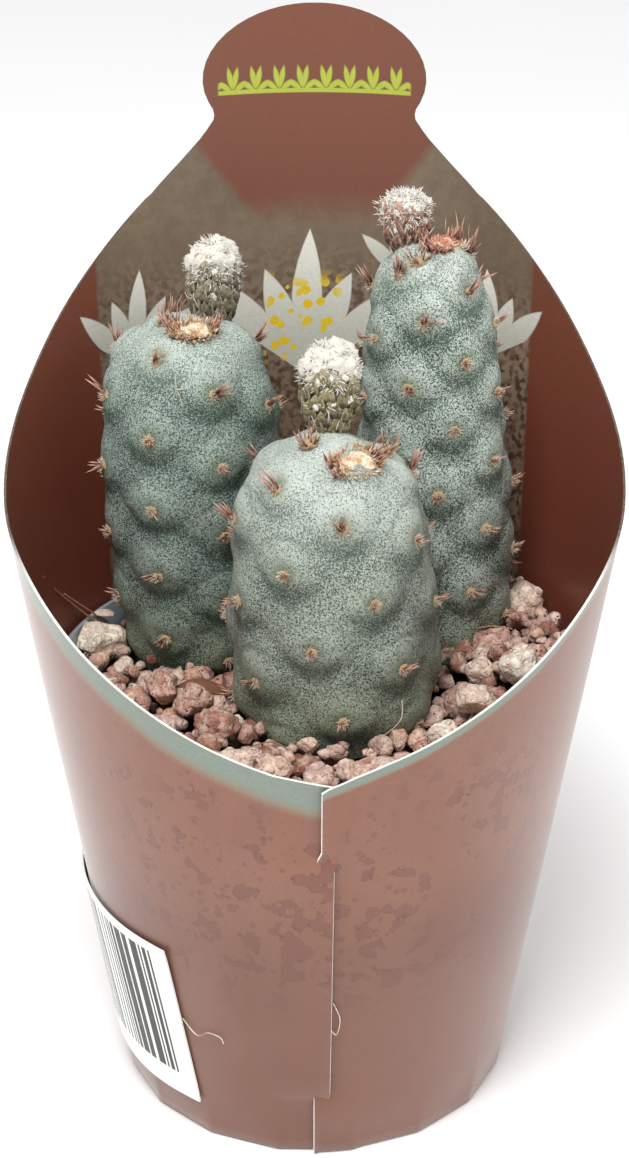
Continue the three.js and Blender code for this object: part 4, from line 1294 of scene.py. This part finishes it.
def press_back(points, stem):
    """Presses points back behind the planes where the neighbouring stems begin."""
    for other in STEMS.values():
        if other is stem:
            continue
        away = np.array(other["place"]) - np.array(stem["place"])
        reach = np.linalg.norm(away)
        limit = reach * stem["girth"] / (stem["girth"] + other["girth"]) - PRESSED_GAP
        away = away / reach
        over = np.maximum(points[:, :2] @ away - limit, 0)
        points[:, :2] -= over[:, None] * away


def stem_relief(stem, points, fade):
    """Lift, swell, crease and shade of the skin at points, and how far off an areole is."""
    lift = np.zeros(len(points))
    crease = np.zeros(len(points))
    under = np.zeros(len(points))
    nearest = np.full(len(points), 99.0)
    for azimuth, z in tubercles(stem):
        spot = np.array(polar(azimuth, outline_radius(stem, z), z))
        distance = np.linalg.norm(points - spot, axis=1)
        above = np.clip((points[:, 2] - z) / CREASE_DISTANCE, -1, 1)
        width = RELIEF_WIDTH * (1 + 0.22 * np.clip(above * 2, -1, 1))
        lift = np.maximum(lift, np.exp(-(distance / width) ** 2))
        ring = np.exp(-((distance - CREASE_DISTANCE) / CREASE_WIDTH) ** 2)
        crease = np.maximum(crease, ring * np.clip(above * 1.6 - 0.25, 0, 1))
        shade = np.exp(-((distance - UNDER_DISTANCE) / UNDER_WIDTH) ** 2)
        shade *= np.clip(-above * 2.2, 0, 1)
        under = np.maximum(under, shade)
        nearest = np.minimum(nearest, distance)
    crease *= fade
    swell = lift.copy()
    dimple = np.exp(-(nearest / DIMPLE_WIDTH) ** 2)
    lift = lift * RELIEF - crease * CREASE - dimple * DIMPLE
    return lift, swell, crease, under, nearest


def vertex_rows(mesh, key):
    """A vector of each vertex of a mesh, as the rows of an array."""
    values = np.empty(len(mesh.vertices) * 3)
    mesh.vertices.foreach_get(key, values)
    return values.reshape(-1, 3)


def make_stem_skin(name, stem, material):
    curve = stem_curve(stem)
    profile = [(point.x, point.y) for point in curve]
    profile[0] = (0, profile[0][1])
    profile += [(FOOT_RADIUS, FOOT_TOP), (FOOT_RADIUS, FOOT_BOTTOM), (0, FOOT_BOTTOM)]
    mesh = mesh_of(name, spun(profile, STEM_STEPS))
    points, normals = (vertex_rows(mesh, key) for key in ("co", "normal"))
    seed = stem["seed"]
    folds = np.array([noise.noise(Vector(point) * 0.22 + Vector((seed, 0, 0)))
                      + 0.4 * noise.noise(Vector(point) * 0.7) for point in points])
    lift, swell, crease, under, nearest = stem_relief(stem, points,
                                                      np.clip(0.35 + folds * 1.8, 0, 1))
    grows = np.clip((points[:, 2] - FOOT_TOP) / 4, 0, 1)
    points = points + normals * ((lift - SINK + folds * FOLDS) * grows)[:, None]
    press_back(points, stem)
    points[:, :2] += np.array(stem["place"])
    points[:, 0] += LEAN * np.maximum(0, points[:, 2] - LEAN_START)
    mesh.vertices.foreach_set("co", points.ravel())
    halo = np.exp(-(nearest / HALO_WIDTH) ** 2)
    # The under layer holds the painted shade below each areole.
    for layer, values in (("swell", swell), ("crease", crease), ("under", under),
                          ("halo", halo)):
        mesh.attributes.new(layer, "FLOAT", "POINT").data.foreach_set("value", values)
    bm = bmesh.new()
    bm.from_mesh(mesh)
    bpy.data.meshes.remove(mesh)
    finish_piece(f"stem_skin_{name}", bm, [material], f"stem_{name}")


def skin_material(name, plant_look, frost, green, cover, height_low, height_high):
    """Green skin under a fine broken frost, in a stem's own shades and cover."""
    material, tree, place = new_material(f"skin_{name}")
    swell, crease, halo = (attribute(tree, key) for key in ("swell", "crease", "halo"))
    under = attribute(tree, "under")
    height = height_of(tree, place)
    # rise: the frost thickens and the skin turns paler upwards, partly real frost and partly
    # painted light from above.
    rise = ranged(tree, height, height_low, height_high)
    patches = grain(tree, place, 7.0, 3.0, 0.34, 0.66)
    # Frost covers more of the swells and less below each areole: partly painted light on the
    # tubercles' tops and painted shade under them.
    bare = calc(tree, "MULTIPLY_ADD", ranged(tree, swell, 0.3, 0.95), 0.05, cover)
    bare = calc(tree, "MULTIPLY_ADD", patches, 0.035, bare)
    bare = calc(tree, "MULTIPLY_ADD", rise, 0.05, bare)
    bare = calc(tree, "MULTIPLY_ADD", under, -0.08, bare)
    marks = grain(tree, place, 0.16, 1.2, calc(tree, "SUBTRACT", bare, 0.05),
                  calc(tree, "ADD", bare, 0.05), 0.8)
    top = blend(tree, rise, colour_of(frost), tuple(plant_look.skin))
    ground = tinge(tree, patches, 0.4, colour_of(green), tuple(plant_look.speckle))
    base = ranged(tree, height, 50, 68, 0.6, 0)
    fine = grain(tree, place, 0.13, 1.0, 0.35, 0.65)
    top = tinge(tree, fine, 0.22, top, colour_of("dbe3dc"))
    top = blend(tree, base, top, colour_of("8d9972"))
    # The green is painted paler upwards too, partly painted light from above.
    ground = blend(tree, rise, ground, colour_of("74857a"))
    colour = blend(tree, marks, top, ground)
    # Painted shade: the skin below each areole is painted darker.
    colour = tinge(tree, under, 0.2, colour, colour_of("55685a"))
    colour = tinge(tree, halo, 0.7, colour, colour_of("566239"))
    # Painted shade: the creases are painted darker.
    colour = tinge(tree, crease, 0.4, colour, colour_of("44554a"))
    dress(tree, {"Base Color": colour, "Roughness": ranged(tree, marks, 0, 1, 0.8, 0.6)},
          calc(tree, "MULTIPLY", marks, -1.0), 0.035)
    return material


def hair_material(name, root, tip, dull=0.9, odd=0.35):
    """Hairs or spines that change colour from root to tip, each with its own tone."""
    material, tree, place = new_material(name)
    along, tone = attribute(tree, "along"), attribute(tree, "tone")
    colour = blend(tree, ranged(tree, along, 0.0, 1.0), root, tip)
    colour = tinge(tree, tone, odd, colour, tuple(channel * 0.55 for channel in root))
    fibre = grain(tree, place, 0.12, 2.0, 0.3, 0.7)
    dress(tree, {"Base Color": colour, "Roughness": dull}, fibre, 0.01)
    return material


def make_areoles(name, stem, plant_look, kit):
    """Wool pads, spine bundles and fine bristles of one stem."""
    pads, spines = bmesh.new(), bmesh.new()
    draw = seeded(stem["seed"] + 900)
    length = plant_look.spine_length / MM
    girth = plant_look.spine_radius / MM
    for index, spot, normal in areoles(stem):
        if not has_room(stem, spot + normal * PAD_REACH):
            continue
        seat = spot - normal * 0.25
        flat = Matrix.Diagonal((draw(0.62, 0.8), draw(0.55, 0.7), 0.3, 1))
        plant(pads, kit["cushion"], Matrix.Translation(seat) @ stand_along(normal) @ flat, draw())
        for _ in range(PAD_FLUFFS):
            lean = leaning(normal, draw(-1.3, 1.3), draw(-1.1, 1.3))
            plant(pads, kit["fluff"], aim(seat, lean, draw(0.75, 1.1), draw(0.7, 1.1),
                                          draw(*ANY_ROLL)), None)
        high = index < HIGH_AREOLES
        count = int(draw(6, 9)) if high else int(draw(4, 7))
        heading, tilt = draw(-0.9, 0.9), draw(-0.1, 0.7)
        for i in range(count):
            side = heading + (i - (count - 1) / 2) * draw(0.08, 0.3)
            way = leaning(normal, side, tilt + draw(-0.25, 0.25) + (0.3 if high else 0))
            long = length * draw(0.6, 1.2) * (1.4 if high else 0.8)
            root = seat + Vector((draw(-0.35, 0.35), draw(-0.35, 0.35), draw(-0.25, 0.3)))
            if has_room(stem, root + way * long):
                plant(spines, kit["spine"], aim(root, way, long + 0.4, girth * draw(0.8, 1.2),
                                                draw(*ANY_ROLL)), draw())
    for x, y, woolly in stem["clusters"]:
        seat = on_stem(stem, Vector((x, y, outline_height(stem, (x, y)) + 0.35)))
        normal = Vector((x * 0.09, y * 0.09, 1)).normalized()
        plant(pads, kit["cushion"], Matrix.Translation(seat)
              @ Matrix.Diagonal((1.1, 0.9, 0.5, 1)), draw())
        for i in range(CLUSTER_HAIRS):
            around, out = i * math.radians(GOLDEN_ANGLE), math.sqrt((i + 0.5) / CLUSTER_HAIRS)
            root = seat + Vector((math.cos(around), math.sin(around), 0)) * out
            way = leaning(normal, math.cos(around) * out * 0.7, math.sin(around) * out * 0.7)
            if woolly or i % 4 == 0:
                kind = "puff" if woolly else "fluff"
                plant(pads, kit[kind], aim(root, way, draw(0.9, 1.5), 0.8, 0), None)
            if i % (5 if woolly else 2) == 1 and has_room(stem, root + way * 3):
                long = draw(2.8, 4.4) if woolly else draw(1.6, 3.4)
                plant(spines, kit["spine"], aim(root, way, long, girth * draw(0.7, 1.1),
                                                draw(*ANY_ROLL)), draw())
    finish_piece(f"areole_wool_{name}", pads, [kit["pad_look"]])
    finish_piece(f"spines_{name}", spines, [kit["spine_look"]])


# Buds, wool caps and crowns.

def bud_radius(bud, z):
    share = clamp(z / bud["height"])
    return bud["radius"] * math.sqrt(max(0.0, 1 - ((share - WIDEST) / ROUNDNESS) ** 2))


def bud_matrix(stem):
    """The place of a bud: its foot in the stem, leaning a little to the side."""
    bud = stem["bud"]
    foot = Vector((*bud["place"], outline_height(stem, bud["place"]) - BUD_SINK))
    return (Matrix.Translation(on_stem(stem, foot))
            @ Matrix.Rotation(math.radians(bud["lean"]), 4, "Y"))


def scale_template():
    """A cupped ovate bud scale of unit length and width, its root at the origin."""
    bm = bmesh.new()
    along = bm.verts.layers.float.new("along")
    bmesh.ops.create_icosphere(bm, subdivisions=3, radius=0.5)
    for vert in bm.verts:
        share = clamp(vert.co.z + 0.5)
        narrow = 1 - 0.4 * share ** 4
        cup = -0.3 * (2 * vert.co.x) ** 2 + 0.12 * share ** 2
        vert[along] = share
        vert.co = (vert.co.x * narrow, vert.co.y * 0.3 + cup, vert.co.z + 0.5)
    return new_template("scale", bm)


def make_bud(name, stem, plant_look, kit):
    bud = stem["bud"]
    place = bud_matrix(stem)
    draw = seeded(stem["seed"] + 40)
    heights = [share * bud["height"]
               for share in (0, 0.06, 0.14, 0.24, 0.35, 0.46, 0.58, 0.7, 0.8)]
    profile = [(0, 0)] + [(bud_radius(bud, z) * CORE_SHARE, z) for z in heights]
    profile.append((0, profile[-1][1] + 0.3))
    core = new_template("bud_core", spun(profile, BUD_STEPS))
    body, tufts = bmesh.new(), bmesh.new()
    plant(body, core, Matrix.Identity(4), 0.2)
    bpy.data.meshes.remove(core)
    count = plant_look.scale_count
    for i in range(count):
        share = (i + 0.5) / count
        z = bud["height"] * lerp(0.0, 0.6, share)
        azimuth = i * GOLDEN_ANGLE
        root = polar(azimuth, bud_radius(bud, z) * CORE_SHARE - 0.25, z - 0.3)
        way = polar(azimuth, 1, lerp(1.7, 4.2, share) + draw(-0.3, 0.4)).normalized()
        across = UP.cross(polar(azimuth, 1, 0)).normalized()
        outward = across.cross(way).normalized()
        turn = Matrix((across, -outward, way)).transposed().to_4x4()
        size = Matrix.Diagonal((draw(1.8, 2.3), draw(1.7, 2.2), draw(2.4, 3.0), 1))
        plant(body, kit["scale"], Matrix.Translation(root) @ turn @ size, draw())
        tip = root + way * 2.2 - outward * 0.05
        for _ in range((i % 3 == 0) * (share > 0.3) + (share > 0.8)):
            fluff = way + Vector((draw(-0.9, 0.9), draw(-0.9, 0.9), draw(-0.2, 0.6)))
            plant(tufts, kit["clump"], aim(tip + across * draw(-0.9, 0.9), fluff,
                                           draw(0.35, 0.55), draw(0.2, 0.34)), draw())
            plant(tufts, kit["puff"], aim(tip + across * draw(-0.9, 0.9), fluff,
                                          draw(0.4, 0.7), draw(0.9, 1.3), draw(*ANY_ROLL)), None)
    for i in range(BUD_BRISTLES):
        azimuth = i * GOLDEN_ANGLE
        z = bud["height"] * draw(0.03, 0.3)
        root = polar(azimuth, bud_radius(bud, z) * 0.92, z)
        way = polar(azimuth + draw(-30, 30), 1, draw(0.8, 3)).normalized()
        plant(tufts, kit["bristle"], aim(root, way, draw(1.4, 2.8), 0.1, draw(*ANY_ROLL)), draw())
    for part in (body, tufts):
        bmesh.ops.transform(part, matrix=place, verts=part.verts)
    finish_piece(f"bud_scales_{name}", body, [kit[f"bud_look_{name}"]], f"bud_{name}")
    finish_piece(f"bud_tufts_{name}", tufts, [kit["wool_look"]])


def make_wool(name, stem, plant_look, kit):
    """The dense wool cap: many small tufts over a low dome."""
    bud = stem["bud"]
    draw = seeded(stem["seed"] + 70)
    bm = bmesh.new()
    count = plant_look.wool_tufts
    centre = Vector((0, 0, bud["height"] * 0.6))
    radius = bud["radius"] * 0.86
    rise = bud["height"] * 0.33
    # The dome under the tufts takes the wool's darker root colour: painted shade deep in the wool.
    plant(bm, kit["puffball"], Matrix.Translation(centre + Vector((0, 0, rise * 0.3)))
          @ Matrix.Diagonal((radius * 0.97, radius * 0.97, rise * 0.76, 1)), 0.1)
    for i in range(count):
        up = 1 - (i + 0.5) / count * 1.12
        azimuth = i * GOLDEN_ANGLE
        flat = math.sqrt(max(0.0, 1 - up * up))
        way = polar(azimuth, flat, up)
        root = centre + Vector((way.x * radius * 0.9, way.y * radius * 0.9,
                                max(way.z, -0.15) * rise * 0.95))
        lean = way + Vector((draw(-0.5, 0.5), draw(-0.5, 0.5), draw(-0.3, 0.5)))
        plant(bm, kit["puff"], aim(root, lean, draw(0.45, 0.75), draw(1.2, 1.7),
                                   draw(*ANY_ROLL)), None)
    bmesh.ops.transform(bm, matrix=bud_matrix(stem), verts=bm.verts)
    finish_piece(f"wool_cap_{name}", bm, [kit["wool_look"]], f"wool_{name}")


def make_crown(name, stem, kit):
    """The bristly cushion on a stem's shoulder, with red-brown spines on both sides."""
    crown = stem["crown"]
    draw = seeded(stem["seed"] + 130)
    away = Vector(crown["place"])
    centre = on_stem(stem, Vector((*away, outline_height(stem, away) + 0.2)))
    normal = Vector((away.x * 0.12, away.y * 0.12, 1)).normalized()
    turn = stand_along(normal)
    size = Matrix.Diagonal((crown["length"] * 0.46, crown["width"] * 0.46, 0.8, 1))
    cushion, bristles = bmesh.new(), bmesh.new()
    plant(cushion, kit["crater"], Matrix.Translation(centre) @ turn @ size, 0.4)
    for i in range(CROWN_FLUFFS):
        around = math.radians(i * GOLDEN_ANGLE)
        out = math.sqrt((i + 0.5) / CROWN_FLUFFS)
        root = centre + turn.to_3x3() @ Vector((math.cos(around) * out * crown["length"] * 0.46,
                                                math.sin(around) * out * crown["width"] * 0.46,
                                                0.5 * (1 - out)))
        lean = leaning(normal, math.cos(around) * out * 1.1, math.sin(around) * out * 1.1)
        plant(cushion, kit["fluff"], aim(root, lean, draw(0.6, 1.1), draw(0.7, 1),
                                         draw(*ANY_ROLL)), None)
    for i in range(CROWN_STRANDS):
        around = math.radians(i * GOLDEN_ANGLE + draw(-20, 20))
        out = lerp(0.7, 1.18, draw())
        root = centre + turn.to_3x3() @ Vector((math.cos(around) * out * crown["length"] * 0.5,
                                                math.sin(around) * out * crown["width"] * 0.5,
                                                0.1))
        fall = draw(-0.8, 0.8)
        lean = leaning(normal, math.cos(around) * (1 + fall), math.sin(around) * (1 + fall))
        plant(cushion, kit["strand"], aim(root, lean, draw(0.7, 1.3), draw(0.13, 0.22),
                                          draw(*ANY_ROLL)), draw())
    for i in range(CROWN_BRISTLES):
        side = 1 if i % 2 else -1
        root = centre + turn.to_3x3() @ Vector((side * crown["length"] * draw(0.36, 0.56),
                                                crown["width"] * draw(-0.3, 0.4), 0))
        lean = leaning(normal, side * draw(0.1, 1.1), draw(-0.4, 0.6))
        plant(bristles, kit["spine"], aim(root, lean, draw(1.6, 2.9), draw(0.12, 0.2),
                                          draw(*ANY_ROLL)), draw())
    look = kit["salmon_look" if name == "right" else "crown_look"]
    finish_piece(f"crown_cushion_{name}", cushion, [look], f"crown_{name}")
    finish_piece(f"crown_bristles_{name}", bristles, [kit["spine_look"]])


def scale_material(name, dark, light, tint):
    material, tree, place = new_material(f"bud_{name}")
    along, tone = attribute(tree, "along"), attribute(tree, "tone")
    streaks = grain(tree, place, 0.4, 4.0, 0.35, 0.65)
    colour = blend(tree, tone, colour_of(dark), colour_of(light))
    colour = blend(tree, ranged(tree, along, 0.55, 1.0, 0, 0.7), colour, colour_of(tint))
    colour = tinge(tree, streaks, 0.35, colour, colour_of("d8cdb2"))
    # Painted shade: the scales are painted nearly black towards their roots, where they tuck under
    # one another.
    colour = blend(tree, ranged(tree, along, 0.05, 0.6, 0.9, 0), colour, colour_of("231a10"))
    dress(tree, {"Base Color": colour, "Roughness": 0.72}, streaks, 0.06)
    return material


def crown_material(name, dark, middle, light):
    material, tree, place = new_material(f"crown_{name}")
    along, tone = attribute(tree, "along"), attribute(tree, "tone")
    clumps = grain(tree, place, 0.9, 4.0, 0.35, 0.65)
    fine = grain(tree, place, 0.2, 3.0, 0.3, 0.7)
    colour = blend(tree, clumps, colour_of(middle), colour_of(light))
    colour = blend(tree, ranged(tree, tone, 0.3, 1.0, 0, 0.8), colour, colour_of(dark))
    colour = blend(tree, ranged(tree, along, 0.0, 0.5, 0.6, 0), colour, colour_of(dark))
    dress(tree, {"Base Color": colour, "Roughness": 0.9}, fine, 0.08)
    return material


def make_kit(plant_look):
    """Templates and materials that the areoles, buds and crowns share."""
    hair = strand("hair", 3, 3, 0.28)
    girth = plant_look.hair_radius / MM
    wool = tuple(plant_look.wool)
    kit = {
        "spine": strand("spine", 3, 3, 0.08),
        "bristle": strand("bristle", 3, 4, 0.35),
        "strand": strand("strand", 3, 2, 0.3),
        "fluff": tuft("fluff", hair, 9, 0.9, 7, girth * 0.8, (0.6, 1.1), 0.35),
        "puff": tuft("puff", hair, 11, 1.1, 9, girth, (0.6, 1.2), 0.45),
        "cushion": lump("cushion", 3, 3, 0.4, 2.2, 0.3, 0.1),
        "clump": lump("clump", 3, 5, 0.5, 1.8, 0.3, 0.4),
        "puffball": lump("puffball", 4, 4, 0.25, 2.0, 0.2, 0.2),
        "crater": lump("crater", 4, 6, 0.35, 1.9, 0.2),
        "scale": scale_template(),
        "pad_look": hair_material("pad_wool", colour_of("b3946f"), colour_of("fff6e4"), 1.0, 0.3),
        "wool_look": hair_material("bud_wool", colour_of("dad4c6"), wool, 1.0, 0.15),
        "spine_look": hair_material("spine_horn", tuple(plant_look.spine),
                                    colour_of("e6b9a0"), 0.55, 0.5),
        "crown_look": crown_material("straw", "a05a30", "dba970", "fbf0d8"),
        "salmon_look": crown_material("salmon", "97402a", "d98a66", "f7dcc4"),
        "bud_look_front": scale_material("front", "544b2c", "81764e", "9a9068"),
        "bud_look_left": scale_material("left", "5a5142", "82775f", "9c9078"),
        "bud_look_right": scale_material("right", "65392d", "9c6b5a", "c3a090"),
    }
    bpy.data.meshes.remove(hair)
    return kit


# Dried bits and loose fibres.

def thread(bm, points, girth, tone):
    """A thin stalk or hair along a smooth line through points, thinner at its end."""
    hair = bmesh.new()
    layer = hair.verts.layers.float.new("tone")
    line = [Vector(point) for point in points]
    steps = 7 * (len(line) - 1)
    ring = bmesh.ops.create_circle(hair, cap_ends=True, segments=4, radius=girth)["verts"]
    edges = hair.edges[:]
    place = line[0]
    for step in range(1, steps + 1):
        at = step / steps * (len(line) - 1)
        i = min(int(at), len(line) - 2)
        near = [line[int(clamp(i + k, 0, len(line) - 1))] for k in (-1, 0, 1, 2)]
        t = at - i
        bend = (near[2] - near[0]) * 0.5 * (t - 2 * t * t + t ** 3)
        bend += (near[3] - near[1]) * 0.5 * (t ** 3 - t * t)
        target = near[1] * (1 - 3 * t * t + 2 * t ** 3) + near[2] * (3 * t * t - 2 * t ** 3) + bend
        if step == 1:
            turn = stand_along(target - place)
            bmesh.ops.transform(hair, matrix=Matrix.Translation(place) @ turn, verts=ring)
        ring, edges = grow(hair, edges)
        bmesh.ops.translate(hair, vec=target - place, verts=ring)
        if step == steps:
            bmesh.ops.pointmerge(hair, verts=ring, merge_co=target)
        place = target
    for vert in hair.verts:
        vert[layer] = tone
    bmesh.ops.recalc_face_normals(hair, faces=hair.faces)
    take_in(bm, hair)


def straw_material():
    material, tree, place = new_material("dried_bits")
    tone = attribute(tree, "tone")
    fibre = grain(tree, place, 0.5, 4.0, 0.3, 0.7)
    colour = stops(tree, tone, (0.0, colour_of("6f4430")), (0.5, colour_of("b58a68")),
                   (1.0, colour_of("efe6d6")))
    colour = tinge(tree, fibre, 0.4, colour, colour_of("7a543c"))
    dress(tree, {"Base Color": colour, "Roughness": 0.8}, fibre, 0.05)
    return material


def flake(bm, centre, size, turn, curve, tone):
    """A thin curved chip of bark lying on the stones."""
    chip = bmesh.new()
    layer = chip.verts.layers.float.new("tone")
    bmesh.ops.create_uvsphere(chip, u_segments=20, v_segments=12, radius=1)
    for vert in chip.verts:
        x, y, z = vert.co
        ragged = 1 + 0.18 * noise.noise(Vector((x * 2.3, y * 2.3, centre[0])))
        vert.co = (x * size[0] * ragged, y * size[1] * ragged,
                   z * size[2] - curve * (x * x + 0.5 * y * y))
        vert[layer] = tone + 0.1 * noise.noise(vert.co)
    matrix = Matrix.Translation(centre) @ turn
    bmesh.ops.transform(chip, matrix=matrix, verts=chip.verts)
    take_in(bm, chip)


def make_debris():
    bm = bmesh.new()
    for points, girth, tone in THREADS:
        thread(bm, points, girth, tone)
    for centre, size, angles, curve, tone in FLAKES:
        turn = Matrix.Rotation(math.radians(angles[0]), 4, "Z")
        turn = turn @ Matrix.Rotation(math.radians(angles[1]), 4, "Y")
        flake(bm, centre, size, turn, curve, tone)
    finish_piece("dried_bits", bm, [straw_material()])


# Operators and the panel.

def look_of(context):
    return context.scene.cactus_card, context.scene.cactus_plant, context.scene.cactus_ground


class CACTUS_OT_sleeve(bpy.types.Operator):
    """Make the printed card sleeve"""

    bl_idname = "cactus.sleeve"
    bl_label = "Card sleeve"

    def execute(self, context):
        make_sleeve(look_of(context)[0])
        return {"FINISHED"}


class CACTUS_OT_label(bpy.types.Operator):
    """Make the barcode sticker"""

    bl_idname = "cactus.label"
    bl_label = "Barcode sticker"

    def execute(self, context):
        make_label()
        return {"FINISHED"}


class CACTUS_OT_pot(bpy.types.Operator):
    """Make the nursery pot and dress the soil in it"""

    bl_idname = "cactus.pot"
    bl_label = "Pot and soil"

    def execute(self, context):
        ground = look_of(context)[2]
        make_pot(ground)
        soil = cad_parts["soil"].data.materials
        soil.clear()
        soil.append(soil_material(ground))
        return {"FINISHED"}


class CACTUS_OT_gravel(bpy.types.Operator):
    """Make the lava gravel"""

    bl_idname = "cactus.gravel"
    bl_label = "Lava gravel"

    def execute(self, context):
        make_gravel(look_of(context)[2])
        return {"FINISHED"}


class CACTUS_OT_stems(bpy.types.Operator):
    """Make the skins of the three stems"""

    bl_idname = "cactus.stems"
    bl_label = "Stems"

    def execute(self, context):
        look = look_of(context)[1]
        for name, stem in STEMS.items():
            make_stem_skin(name, stem, skin_material(name, look, *SKINS[name]))
        return {"FINISHED"}


class CACTUS_OT_growth(bpy.types.Operator):
    """Make the areoles, buds, wool caps and crowns"""

    bl_idname = "cactus.growth"
    bl_label = "Areoles, buds and crowns"

    def execute(self, context):
        look = look_of(context)[1]
        kit = make_kit(look)
        for name, stem in STEMS.items():
            make_areoles(name, stem, look, kit)
            make_bud(name, stem, look, kit)
            make_wool(name, stem, look, kit)
            make_crown(name, stem, kit)
        for thing in kit.values():
            if isinstance(thing, bpy.types.Mesh):
                bpy.data.meshes.remove(thing)
        return {"FINISHED"}


class CACTUS_OT_debris(bpy.types.Operator):
    """Scatter the dried stalks, hairs and chips"""

    bl_idname = "cactus.debris"
    bl_label = "Dried bits"

    def execute(self, context):
        make_debris()
        return {"FINISHED"}


class CACTUS_OT_stage(bpy.types.Operator):
    """Set up the floor, the lights and the camera"""

    bl_idname = "cactus.stage"
    bl_label = "Stage"

    def execute(self, context):
        make_stage(context.scene)
        return {"FINISHED"}


def make_stage(scene):
    bm = bmesh.new()
    bmesh.ops.create_grid(bm, x_segments=1, y_segments=1, size=3)
    mesh = mesh_of("floor", bm)
    floor = link_object("floor", mesh)
    material, tree, place = new_material("floor_paper")
    cloud = grain(tree, place, 200.0, 2.0, 0.3, 0.7)
    dress(tree, {"Base Color": blend(tree, cloud, colour_of("fbfbfb"), colour_of("fdfdfd")),
                 "Roughness": 0.9})
    mesh.materials.append(material)
    world = bpy.data.worlds.new("studio")
    world.use_nodes = True
    backdrop = world.node_tree.nodes["Background"]
    backdrop.inputs[0].default_value = (1, 1, 1, 1)
    backdrop.inputs[1].default_value = SKY
    scene.world = world
    middle = AXIS + Vector(LIT_POINT)
    for name, power, size, place in LIGHTS:
        light = bpy.data.lights.new(name, "AREA")
        light.energy = power
        light.size = size
        lamp = link_object(name, light)
        lamp.location = place
        lamp.rotation_euler = (middle - Vector(place)).to_track_quat("-Z", "Y").to_euler()
    camera = bpy.data.cameras.new("camera")
    camera.lens = LENS
    camera.sensor_width = 36
    camera.clip_start = 0.01
    viewer = link_object("camera", camera)
    viewer.location = AXIS + Vector(CAMERA_PLACE)
    aim_at = AXIS + Vector(CAMERA_TARGET) - viewer.location
    viewer.rotation_euler = aim_at.to_track_quat("-Z", "Y").to_euler()
    scene.camera = viewer
    scene.view_settings.view_transform = "Standard"


class CACTUS_PT_panel(bpy.types.Panel):
    """Lists the steps that dress the cactus"""

    bl_idname = "CACTUS_PT_panel"
    bl_label = "Potted cactus"
    bl_space_type = "VIEW_3D"
    bl_region_type = "UI"
    bl_category = "Cactus"

    def draw(self, context):
        for step in STEPS:
            self.layout.operator(step.bl_idname)
        for settings in look_of(context):
            box = self.layout.box()
            for key in settings.bl_rna.properties.keys():
                if key not in ("rna_type", "name"):
                    box.prop(settings, key)


STEPS = (CACTUS_OT_sleeve, CACTUS_OT_label, CACTUS_OT_pot, CACTUS_OT_gravel, CACTUS_OT_stems,
         CACTUS_OT_growth, CACTUS_OT_debris, CACTUS_OT_stage)
SETTINGS = {"cactus_card": CardSettings, "cactus_plant": PlantSettings,
            "cactus_ground": GroundSettings}


def register():
    for cls in (*SETTINGS.values(), *STEPS, CACTUS_PT_panel):
        bpy.utils.register_class(cls)
    for name, cls in SETTINGS.items():
        setattr(bpy.types.Scene, name, PointerProperty(type=cls))


def unregister():
    for name in SETTINGS:
        delattr(bpy.types.Scene, name)
    for cls in (CACTUS_PT_panel, *reversed(STEPS), *SETTINGS.values()):
        bpy.utils.unregister_class(cls)


def main():
    register()
    make_grain_group()
    make_pits_group()
    make_leaf_group()
    for step in STEPS:
        group, action = step.bl_idname.split(".")
        getattr(getattr(bpy.ops, group), action)()


if __name__ == "__main__":
    main()
